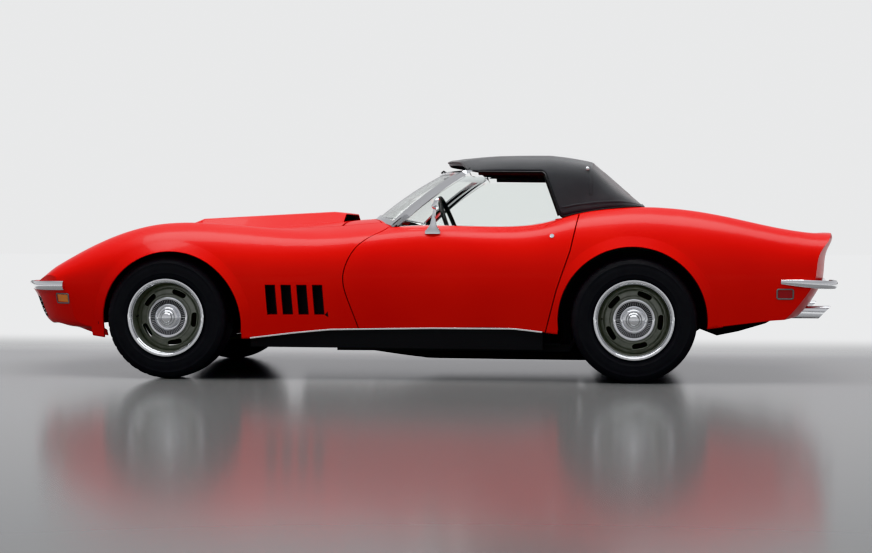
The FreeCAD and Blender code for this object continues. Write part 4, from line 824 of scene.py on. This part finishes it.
def top_rows():
    """The sheet's rows from the header's lip to the tuck behind, each from left to right."""
    rows = []
    for x in TOP_STATIONS:
        half_line = top_half(x)
        left = [puckered(at(swept(x, y), -y, z)) for y, z in reversed(half_line[1:])]
        right = [puckered(at(swept(x, y), y, z)) for y, z in half_line]
        rows.append(left + right)
    lip = [[p + Vector((back, 0, up)) for p in rows[0]] for back, up in FRONT_LIP]
    tuck = []
    for back, share in REAR_TUCK:
        row = []
        for p in rows[-1]:
            deck = min(np.interp(abs(p.y), DECK_Y, DECK_Z), p.z)
            row.append(Vector((p.x + back, p.y, p.z + (deck - p.z) * share)))
        tuck.append(row)
    return lip + rows + tuck


def top_sheet_mesh():
    """The sheet with the opening of its rear window."""
    points, faces, kind = grid(top_lines)
    kept = []
    for face in faces:
        middle = sum((points[i] for i in face), Vector()) / 4
        in_window = abs(middle.y) * 1000 < WINDOW_HALF
        if not (WINDOW_LOW < behind_axle(middle) < WINDOW_HIGH and in_window):
            kept.append(face)
    return mesh_of("soft_top_sheet", [(points, kept, kind)], [fabric], crease=60)


def row_near(x):
    return FIRST_ROW + int(np.argmin([abs(s - x) for s in TOP_STATIONS]))


def cloth_up(i, j):
    """The way out of the sheet at a point of its grid."""
    i0, i1 = max(i - 1, 0), min(i + 1, len(top_lines) - 1)
    j0, j1 = max(j - 1, 0), min(j + 1, LAST_COLUMN)
    out = (top_lines[i1][j] - top_lines[i0][j]).cross(top_lines[i][j1] - top_lines[i][j0]).normalized()
    within = Vector((top_lines[i][j].x, 0, WITHIN_HEIGHT))
    return out if out.dot(top_lines[i][j] - within) > 0 else -out


def welt(cells, size):
    """A sewn strip over grid points of the sheet."""
    path = [top_lines[i][j] for i, j in cells]
    return sweep(path, oval(*size, WELT_STEPS, WELT_POWER), [cloth_up(i, j) for i, j in cells])


def seams():
    """Welts along the crown, across the rear bow, round the header and hem, and up the rear quarters."""
    rear_bow, last_row = row_near(REAR_BOW), row_near(TOP_END)
    parts = []
    for column in (SEAM_COLUMN, LAST_COLUMN - SEAM_COLUMN):
        parts.append(welt([(i, column) for i in range(FIRST_ROW, rear_bow + 1)], CROWN_WELT))
    for row, edge, size in ((rear_bow, BOW_EDGE, BOW_WELT), (FIRST_ROW, HEADER_EDGE, HEADER_WELT),
                            (last_row, 0, HEM_WELT)):
        parts.append(welt([(row, j) for j in range(edge, LAST_COLUMN + 1 - edge)], size))
    for column in (QUARTER_EDGE, LAST_COLUMN - QUARTER_EDGE):
        parts.append(welt([(i, column) for i in range(row_near(QUARTER_FRONT), last_row)], QUARTER_WELT))
    return parts


def seals(column, side):
    """Rubber along the door glass, down the quarter's front edge and along the hem."""
    def edge(ends, shift):
        rows = range(row_near(ends[0]), row_near(ends[1]))
        return [top_lines[i][column] + Vector(shift) for i in rows]

    door = edge(DOOR_SEAL_X, (0, -side * SEAL_IN, -DOOR_SEAL_DOWN))
    quarter = edge(QUARTER_SEAL_X, (-QUARTER_SEAL_FORWARD, -side * SEAL_IN, -SEAL_IN))
    path = smooth_line(door + quarter, DOOR_SEAL_POINTS)
    return [sweep(path, oval(*DOOR_SEAL), (0, SEAL_LEAN * side, 1)),
            sweep(edge(HEM_SEAL_X, (0, 0, -HEM_SEAL_DOWN)), oval(*HEM_SEAL), UP)]


def window_binding():
    """The bound edge of the rear window, with round corners."""
    path = []
    corners = ((WINDOW_LOW, -1), (WINDOW_LOW, 1), (WINDOW_HIGH, 1), (WINDOW_HIGH, -1))
    for corner, (edge, side) in enumerate(corners):
        inward = 1 if edge == WINDOW_LOW else -1
        for k in range(BINDING_STEPS + 1):
            angle = radians(90 * k / BINDING_STEPS)
            along = BINDING_ROUND * (1 - cos(angle))
            across = BINDING_ROUND * (1 - sin(angle))
            if corner % 2:
                along, across = across, along
            x = edge + inward * (along + BINDING_IN)
            y = WINDOW_HALF - BINDING_IN - across
            crown = drawn(x, TOP_CROWN) - CROWN_DIP * (y / CROWN_HALF) ** 2
            path.append(at(x, side * y, crown + BINDING_UP))
    return sweep(path, oval(*BINDING_SECTION), BINDING_SLOPE, closed=True)


def stud(side):
    """A round chrome stud on the rear quarter."""
    half = top_half(STUD_X)
    y = float(np.interp(-STUD_Z, [-z for _, z in half], [y for y, _ in half]))
    seat = at(STUD_X, side * y, STUD_Z)
    return moved(lathe(STUD, steps=24, closed=False), lambda p: seat + Vector((p.x, p.y * -side, p.z)))


top_lines = top_rows()
LAST_COLUMN = len(top_lines[0]) - 1
top_mesh = top_sheet_mesh()
top = show("soft_top_sheet", top_mesh, "body", ["soft_top"])
thicken = top.modifiers.new("cloth", "SOLIDIFY")
thicken.thickness = CLOTH_THICK
thicken.offset = -1
welts = piece("soft_top_seams", seams(), [fabric], crease=50)
piece("soft_top_seals", seals(0, -1) + seals(LAST_COLUMN, 1), [seal], crease=40)
piece("rear_window_binding", [window_binding()], [fabric], crease=40)
piece("soft_top_studs", [stud(-1), stud(1)], [chrome])


# Seats: crowned cushions and backs with sewn channels, on a shell. Their sizes are in metres

PAD_ROUNDING, PAD_STEPS = 5.0, 30
PAD_WAIST = 0.03
BOLSTER, BOLSTER_AT, BOLSTER_WIDE, BOLSTER_FADE = 0.35, 0.84, 0.13, 0.4
CHANNEL_WIDE, CHANNEL_END, CHANNEL_LEFT, CHANNEL_DEEP = 0.022, 0.74, 0.15, 0.10
BORDER_WIDE, BORDER_SIDE, BORDER_END, BORDER_REACH = 0.02, 0.68, 0.80, 0.7
CHANNELS = [-0.54 + 0.18 * i for i in range(7)]
SEAT_MIDDLE, PAD_FILL, SHELL_HALF = 0.366, 0.7, 0.205
CUSHION = dict(size=(0.50, 0.46, 0.15), tilt=8, crown=0.16)
CUSHION_X, CUSHION_Z = 0.405, 0.325
BACK = dict(size=(0.50, 0.45, 0.12), tilt=112.0, crown=0.12)
BACK_X, BACK_Z = 0.628, 0.560
SEAT_SHELL = [(0.170, 0.202), (0.690, 0.202), (0.775, 0.700), (0.745, 0.790), (0.715, 0.770), (0.640, 0.330),
              (0.185, 0.270)]


def hump(distance, wide):
    return exp(-(distance / wide) ** 2)


def pad_point(p, crown):
    """Moves a point of the two-wide rounded cube onto the pad, before it is sized."""
    x, y, z = p / sum(abs(part) ** PAD_ROUNDING for part in p) ** (1 / PAD_ROUNDING)
    face = max(z, 0)
    bolster = BOLSTER * hump(abs(y) - BOLSTER_AT, BOLSTER_WIDE) * (1 - BOLSTER_FADE * x * x)
    channel = sum(hump(y - c, CHANNEL_WIDE) for c in CHANNELS) * (1 if abs(x) < CHANNEL_END else CHANNEL_LEFT)
    border = hump(abs(y) - BORDER_SIDE, BORDER_WIDE)
    border += hump(abs(x) - BORDER_END, BORDER_WIDE) * (abs(y) < BORDER_REACH)
    z += face * (crown * (1 - x * x) * (1 - y * y) + bolster)
    z -= face * CHANNEL_DEEP * min(channel + border, 1.0)
    x *= 1 - PAD_WAIST * (1 - y * y)
    y *= 1 - PAD_WAIST * (1 - x * x)
    return x, y, z


def pad_mesh(place, size, tilt, crown):
    """A closed pad. Its sides pull in between the corners and its face has sewn channels."""
    work = bmesh.new()
    bmesh.ops.create_cube(work, size=2)
    bmesh.ops.subdivide_edges(work, edges=work.edges, cuts=PAD_STEPS, use_grid_fill=True)
    lean = radians(tilt)
    for vertex in work.verts:
        x, y, z = [share * side / 2 for share, side in zip(pad_point(vertex.co, crown), size)]
        x, z = x * cos(lean) - z * sin(lean), x * sin(lean) + z * cos(lean)
        vertex.co = Vector((x, y, z)) + Vector(place)
    bmesh.ops.recalc_face_normals(work, faces=work.faces)
    mesh = bpy.data.meshes.new("pad")
    work.to_mesh(mesh)
    work.free()
    smooth_faces(mesh)
    mesh.materials.append(leather)
    return mesh


shells = []
for word, side in SIDES.items():
    middle = SEAT_MIDDLE * side
    seat_pad = show(f"seat_cushion_{word}", pad_mesh((CUSHION_X, middle, CUSHION_Z), **CUSHION), "body",
                    ["seats"] if side < 0 else [])
    back_pad = show(f"seat_back_{word}", pad_mesh((BACK_X, middle, BACK_Z), **BACK), "body")
    rows = [[(x, middle + y, z) for x, z in SEAT_SHELL] for y in (-SHELL_HALF, SHELL_HALF)]
    shells.append(closed_form(rows))
piece("seat_shells", shells, [plastic], crease=30)


# Door mirror: a cone foot, a stem that leans back and a thin round-cornered head

MIRROR_FOOT = (1430, -786, 792)
MIRROR_HEAD = (1452, -812, 936)
HEAD_LEAN, HEAD_SECTION, FOOT_STEPS = 240, (0.036, 0.032, 32, 0.62), 20
# The foot's and stem's rings as (up, half length, half width, back, inward)
FOOT_RINGS = [(-16, 44, 20, 0, 7), (0, 42, 19, 0, 6), (8, 34, 15, 1, 5), (30, 18, 11, 3, 2),
              (70, 11, 8, 6, 1), (112, 8, 6, 12, 0), (126, 7, 6, 16, 0)]
# The head's rings as (back, share of its size)
HEAD_RINGS = [(-15, 0.30), (-14, 0.62), (-9, 0.86), (0, 0.97), (6, 1.0), (9, 0.98), (9.5, 0.93), (7, 0.90)]


def mirror_foot():
    x, y, z = MIRROR_FOOT
    rows = []
    for up, half_long, half_wide, back, inward in FOOT_RINGS:
        ring = []
        for k in range(FOOT_STEPS):
            angle = 2 * pi * k / FOOT_STEPS
            along, across = half_long * cos(angle), half_wide * sin(angle)
            ring.append(at(x + back + along, y + inward + across, z + up))
        rows.append(ring)
    return closed_form(rows)


head_x, head_y, head_z = MIRROR_HEAD
head_rings = [(head_x + back, head_y, head_z, share) for back, share in HEAD_RINGS]
piece("door_mirror", [mirror_foot(), oval_rings(HEAD_SECTION, head_rings, HEAD_LEAN)], [chrome],
      ["mirror"], crease=40, body="door_left")


# Under the tail: the spare wheel's tub, pipes, mufflers and bright rectangular tips

TUB = [(2800, 300), (2850, 252), (2944, 216), (3060, 240), (3206, 284), (3290, 330), (3290, 400), (3240, 520),
       (2800, 520)]
TUB_HALF, TUB_LOW_HALF, TUB_BEVEL = 400, 250, 30
PIPE_ROUTE = [(1050, 300, 150), (1300, 300, 118), (1500, 330, 112), (2560, 345, 112), (2680, 350, 150),
              (2790, 352, 250), (2900, 356, 330)]
PIPE_SECTION, PIPE_POINTS = (0.027, 0.027, 14), 60
OUTLET_ROUTE = [(3190, 420, 346), (3230, 400, 350), (3290, 352, 352)]
OUTLET_SECTION = (0.030, 0.027, 14)
MUFFLER_SECTION, MUFFLER_Y, MUFFLER_Z = (0.112, 0.048, 28, 0.8), 438, 346
# The muffler's rings as (x, share of its section)
MUFFLER_RINGS = [(2890, 0.5), (2896, 0.9), (2908, 1.0), (3172, 1.0), (3186, 0.9), (3192, 0.5)]
TIP_HALF_WIDE, TIP_HALF_HIGH, TIP_STEPS, TIP_POWER = 0.044, 0.0335, 32, 0.32
TIP_Y, TIP_Z, TIP_START, TIP_END_LOW, TIP_END_HIGH = 350, 353.5, 3270, 3476, 3540
# The tip's outer and inner walls as shares of its width and height, in thousandths
TIP_OUTER, TIP_INNER = (1000, 1000), (912, 880)


def tub():
    """The tub's side outline made thick across the car, narrower below, with eased edges."""
    middle = Vector((sum(p[0] for p in TUB) / len(TUB), 0, sum(p[1] for p in TUB) / len(TUB)))
    rows = []
    for y, grow in ((-TUB_HALF, -TUB_BEVEL), (-TUB_HALF + TUB_BEVEL, 0), (TUB_HALF - TUB_BEVEL, 0),
                    (TUB_HALF, -TUB_BEVEL)):
        row = []
        for x, z in TUB:
            away = Vector((x, 0, z)) - middle
            place = middle + away * (1 + grow / away.length)
            narrowing = TUB_LOW_HALF / TUB_HALF if z < middle.z else 1
            row.append(at(place.x, y * narrowing, place.z))
        rows.append(row)
    return closed_form(rows)


def muffler(side):
    rings = [(x, side * MUFFLER_Y, MUFFLER_Z, share) for x, share in MUFFLER_RINGS]
    return oval_rings(MUFFLER_SECTION, rings)


def tip_ring(side, x_low, x_high, wide, high):
    """A ring of the tip's wall, leaning back towards its top."""
    ring = []
    for a, b in oval(TIP_HALF_WIDE, TIP_HALF_HIGH, TIP_STEPS, TIP_POWER):
        x = x_low + (x_high - x_low) * (b / (2 * TIP_HALF_HIGH) + 0.5)
        ring.append(at(x, side * TIP_Y + a * wide, TIP_Z + b * high))
    return ring


def exhaust_tip(side):
    """A hollow tip with round corners and a slanted mouth."""
    ends = ((TIP_START, TIP_START), (TIP_END_LOW, TIP_END_HIGH))
    outer = [tip_ring(side, *end, *TIP_OUTER) for end in ends]
    inner = [tip_ring(side, *end, *TIP_INNER) for end in ends]
    return grid(outer + inner[::-1], close_columns=True, close_rows=True, kind=1)


piece("spare_wheel_tub", [tub()], [black_paint], ["fuel_tank"], crease=30)
exhaust = []
for side in (-1, 1):
    pipe = smooth_line(path_of(PIPE_ROUTE, side), PIPE_POINTS)
    exhaust += [sweep(pipe, oval(*PIPE_SECTION), ACROSS),
                sweep(path_of(OUTLET_ROUTE, side), oval(*OUTLET_SECTION), UP),
                muffler(side), exhaust_tip(side)]
piece("exhaust_system", exhaust, [iron, chrome], ["exhaust"])


# Small fittings

# Side-lamp bezels as (first x, last x, low z, high z)
BEZELS = [(-648, -562, 400, 452), (3221, 3304, 440, 490)]
BEZEL_ROUND, BEZEL_STEPS, BEZEL_SECTION, FITTING_LIFT = 8, 4, (0.0045, 0.0022, 8, 0.8), 0.5
STRIP_X, STRIP_OVER_SILL, STRIP_DROP = range(452, 2020, 24), 9, 0.008
STRIP_SECTION = (0.0028, 0.0045, 8)
LOCK_X, LOCK_Z = 2062, 765
LOCK_KNOB = [(-2, 12.5), (2, 12.5), (3.5, 11), (3.5, 8), (2.2, 7.5), (2.2, 0)]
FLAP_LINE, FLAP_LIFT = [(2022, 816), (2050, 830), (2084, 844), (2112, 854)], 0.3
FLAP_SECTION, FLAP_LEAN = (0.0016, 0.0010, 6), 0.4
PILLAR = [(1207, 692, 826), (1330, 655, 928), (1460, 610, 1034), (1572, 572, 1118)]
# The seals of a pillar as (section, shift from the pillar's line as back, outward and up)
PILLAR_POINTS = 30
PILLAR_SEALS = [((0.006, 0.004, 8), (0.010, 0.002, -0.012)), ((0.0022, 0.002, 6), (-0.001, 0.013, 0.001))]
INNER_MIRROR = [(1424, -100, 1098), (1424, 0, 1100), (1424, 100, 1098)]
INNER_MIRROR_SECTION = (0.010, 0.026, 14, 0.6)
MIRROR_ARM, MIRROR_ARM_SECTION = [(1428, 0, 1120), (1400, 0, 1136), (1388, 0, 1124)], (0.006, 0.006, 8)


def bezel(x0, x1, z0, z1, side):
    """A rounded rectangular frame on the painted side."""
    path = []
    for x, z, start in ((x1 - BEZEL_ROUND, z1 - BEZEL_ROUND, 0), (x0 + BEZEL_ROUND, z1 - BEZEL_ROUND, 90),
                        (x0 + BEZEL_ROUND, z0 + BEZEL_ROUND, 180), (x1 - BEZEL_ROUND, z0 + BEZEL_ROUND, 270)):
        for k in range(BEZEL_STEPS + 1):
            angle = radians(start + 90 * k / BEZEL_STEPS)
            place = (x + BEZEL_ROUND * cos(angle), z + BEZEL_ROUND * sin(angle))
            path.append(on_side(*place, side, FITTING_LIFT)[0])
    return sweep(path, oval(*BEZEL_SECTION), (0, side, 0), closed=True)


def sill_strip(side):
    """A bright strip along the lower edge of the side."""
    line = []
    for x in STRIP_X:
        place, _ = on_side(x, sill_height(x) + STRIP_OVER_SILL, side, FITTING_LIFT)
        line.append(place + Vector((0, 0, -STRIP_DROP)))
    return sweep(line, oval(*STRIP_SECTION), UP)


def lock(side):
    """A round lock cylinder, facing out of the door."""
    place, out = on_side(LOCK_X, LOCK_Z, side)
    turn = Vector((0, -1, 0)).rotation_difference(out).to_matrix()
    return moved(lathe(LOCK_KNOB, steps=28, closed=False), lambda p: place + turn @ p)


def flap(side):
    """The dark line of the door's handle flap."""
    line = [on_side(x, z, side, FLAP_LIFT)[0] for x, z in FLAP_LINE]
    return sweep(line, oval(*FLAP_SECTION), (0, side, FLAP_LEAN))


def pillar_seals(side):
    """Rubber along the inner and outer edges of a windscreen pillar."""
    pillar = smooth_line(path_of(PILLAR, side), PILLAR_POINTS)
    parts = []
    for section, (back, out, up) in PILLAR_SEALS:
        path = [p + Vector((back, side * out, up)) for p in pillar]
        parts.append(sweep(path, oval(*section), (0, side, 0)))
    return parts


bezels = [bezel(*place, side) for side in (-1, 1) for place in BEZELS]
piece("marker_bezels", bezels, [bezel_grey])
piece("sill_strips", [sill_strip(-1), sill_strip(1)], [bright_trim])
for word, side in SIDES.items():
    piece(f"door_lock_{word}", [lock(side)], [chrome], body=f"door_{word}")
    piece(f"door_flap_{word}", [flap(side)], [seal], body=f"door_{word}")
piece("windscreen_seals", pillar_seals(-1) + pillar_seals(1), [seal])
mirror = sweep(path_of(INNER_MIRROR), oval(*INNER_MIRROR_SECTION), UP)
arm = sweep(path_of(MIRROR_ARM), oval(*MIRROR_ARM_SECTION), ACROSS)
piece("inner_mirror", [mirror, arm], [plastic])


# Stage: a floor that turns into the backdrop, and the studio around it

BACKDROP = (0.87, 0.875, 0.88, 1)
FLOOR_REACH, FLOOR_NEAR, FLOOR_FAR = 60, (0.19, 0.192, 0.19, 1), (0.0, 0.0, 0.0, 1)
FLOOR_ROUGHNESS = (0.16, 1.0)
TURN_BEHIND, TURN_AROUND = (1.0, 3.4), (6.0, 10.0)
SKY_ENDS = [(0.0, (0.16, 0.16, 0.165, 1)), (0.9, (0.80, 0.82, 0.86, 1))]
SKY_LEVELS, SKY_BLUE = [(0.04, 0.62), (0.30, 0.50), (0.55, 0.42)], 1.03


def number(mat, source, low, high, start=0, end=1):
    """A number that rises smoothly between two ends of a source."""
    values = {"Value": source, "From Min": low, "From Max": high, "To Min": start, "To Max": end}
    return add(mat, "ShaderNodeMapRange", values, interpolation_type="SMOOTHSTEP").outputs["Result"]


def backdrop_share(mat):
    """How far the floor has turned into the backdrop, behind the object and all round far away."""
    parts = add(mat, "ShaderNodeSeparateXYZ", {"Vector": place_coordinates(mat)})
    reach = add(mat, "ShaderNodeVectorMath", {0: place_coordinates(mat)}, operation="LENGTH")
    behind = number(mat, parts.outputs["Y"], *TURN_BEHIND)
    around = number(mat, reach.outputs["Value"], *TURN_AROUND)
    return add(mat, "ShaderNodeMath", {0: behind, 1: around}, operation="MAXIMUM").outputs["Value"]


def floor_material():
    """A dark polished floor that glows like the backdrop where it has turned into it."""
    mat = material("floor", FLOOR_NEAR[:3], FLOOR_ROUGHNESS[0], specular_ior_level=0.4)
    share = backdrop_share(mat)
    tone = add(mat, "ShaderNodeMix", {"Factor": share, "A": FLOOR_NEAR, "B": FLOOR_FAR}, data_type="RGBA")
    shade(mat, {"Base Color": tone.outputs["Result"], "Emission Strength": share,
                "Emission Color": BACKDROP, "Roughness": number(mat, share, 0, 1, *FLOOR_ROUGHNESS)})
    return mat


def floor():
    mesh = bpy.data.meshes.new("floor")
    corners = [(x * FLOOR_REACH, y * FLOOR_REACH, 0) for x, y in ((-1, -1), (1, -1), (1, 1), (-1, 1))]
    mesh.from_pydata(corners, [], [(0, 1, 2, 3)])
    mesh.materials.append(floor_material())
    placed("floor", mesh)


def studio_world():
    """A sky that lights the object by height and looks like the backdrop, straight or through glass."""
    world = bpy.data.worlds.new("world")
    bpy.context.scene.world = world
    world.use_nodes = True
    world.node_tree.nodes.clear()
    way = add(world, "ShaderNodeTexCoord", {})
    height = add(world, "ShaderNodeSeparateXYZ", {"Vector": way.outputs["Generated"]})
    sky = add(world, "ShaderNodeValToRGB", {"Fac": height.outputs["Z"]})
    for element, (position, colour) in zip(sky.color_ramp.elements, SKY_ENDS):
        element.position = position
        element.color = colour
    for position, level in SKY_LEVELS:
        sky.color_ramp.elements.new(position).color = (level, level, level * SKY_BLUE, 1)
    rays = add(world, "ShaderNodeLightPath", {}).outputs
    seen = add(world, "ShaderNodeMath", {0: rays["Is Camera Ray"], 1: rays["Is Transmission Ray"]},
               operation="MAXIMUM")
    choice = add(world, "ShaderNodeMix", {"Factor": seen.outputs["Value"], "A": sky.outputs["Color"],
                                          "B": BACKDROP}, data_type="RGBA")
    lit = add(world, "ShaderNodeBackground", {"Color": choice.outputs["Result"]})
    add(world, "ShaderNodeOutputWorld", {"Surface": lit.outputs["Background"]})


floor()
studio_world()
bpy.context.scene.view_settings.view_transform = "Khronos PBR Neutral"


# Lights and camera. The camera's place, turn and lens were worked out from the photograph

LENS, SENSOR_WIDTH = 69.1, 36
CAMERA_PLACE, CAMERA_PITCH, CAMERA_TURN = (1.219, -9.576, 0.764), 88.62, 6.71


def area_light(name, place, aim, size, power, mirrored):
    """A rectangular light that shines on a point and may show in reflections."""
    lamp = bpy.data.lights.new(name, "AREA")
    lamp.shape = "RECTANGLE"
    lamp.size, lamp.size_y = size
    lamp.energy = power
    holder = placed(name, lamp)
    holder.location = place
    holder.rotation_euler = (Vector(aim) - Vector(place)).to_track_quat("-Z", "Y").to_euler()
    holder.visible_glossy = mirrored


area_light("overhead", (0, -1.2, 5.4), aim=(0, -0.3, 0), size=(8, 3.0), power=400, mirrored=True)
area_light("backdrop_fill", (0, 5.5, 4.5), aim=(0, 0, 0.5), size=(9, 2), power=160, mirrored=False)
area_light("front_fill", (0, -8.5, 3.6), aim=(0, 0, 0.6), size=(8, 2), power=60, mirrored=False)

lens = bpy.data.cameras.new("camera")
lens.lens = LENS
lens.sensor_width = SENSOR_WIDTH
camera = placed("camera", lens)
camera.location = CAMERA_PLACE
camera.rotation_euler = (radians(CAMERA_PITCH), 0, radians(CAMERA_TURN))
bpy.context.scene.camera = camera
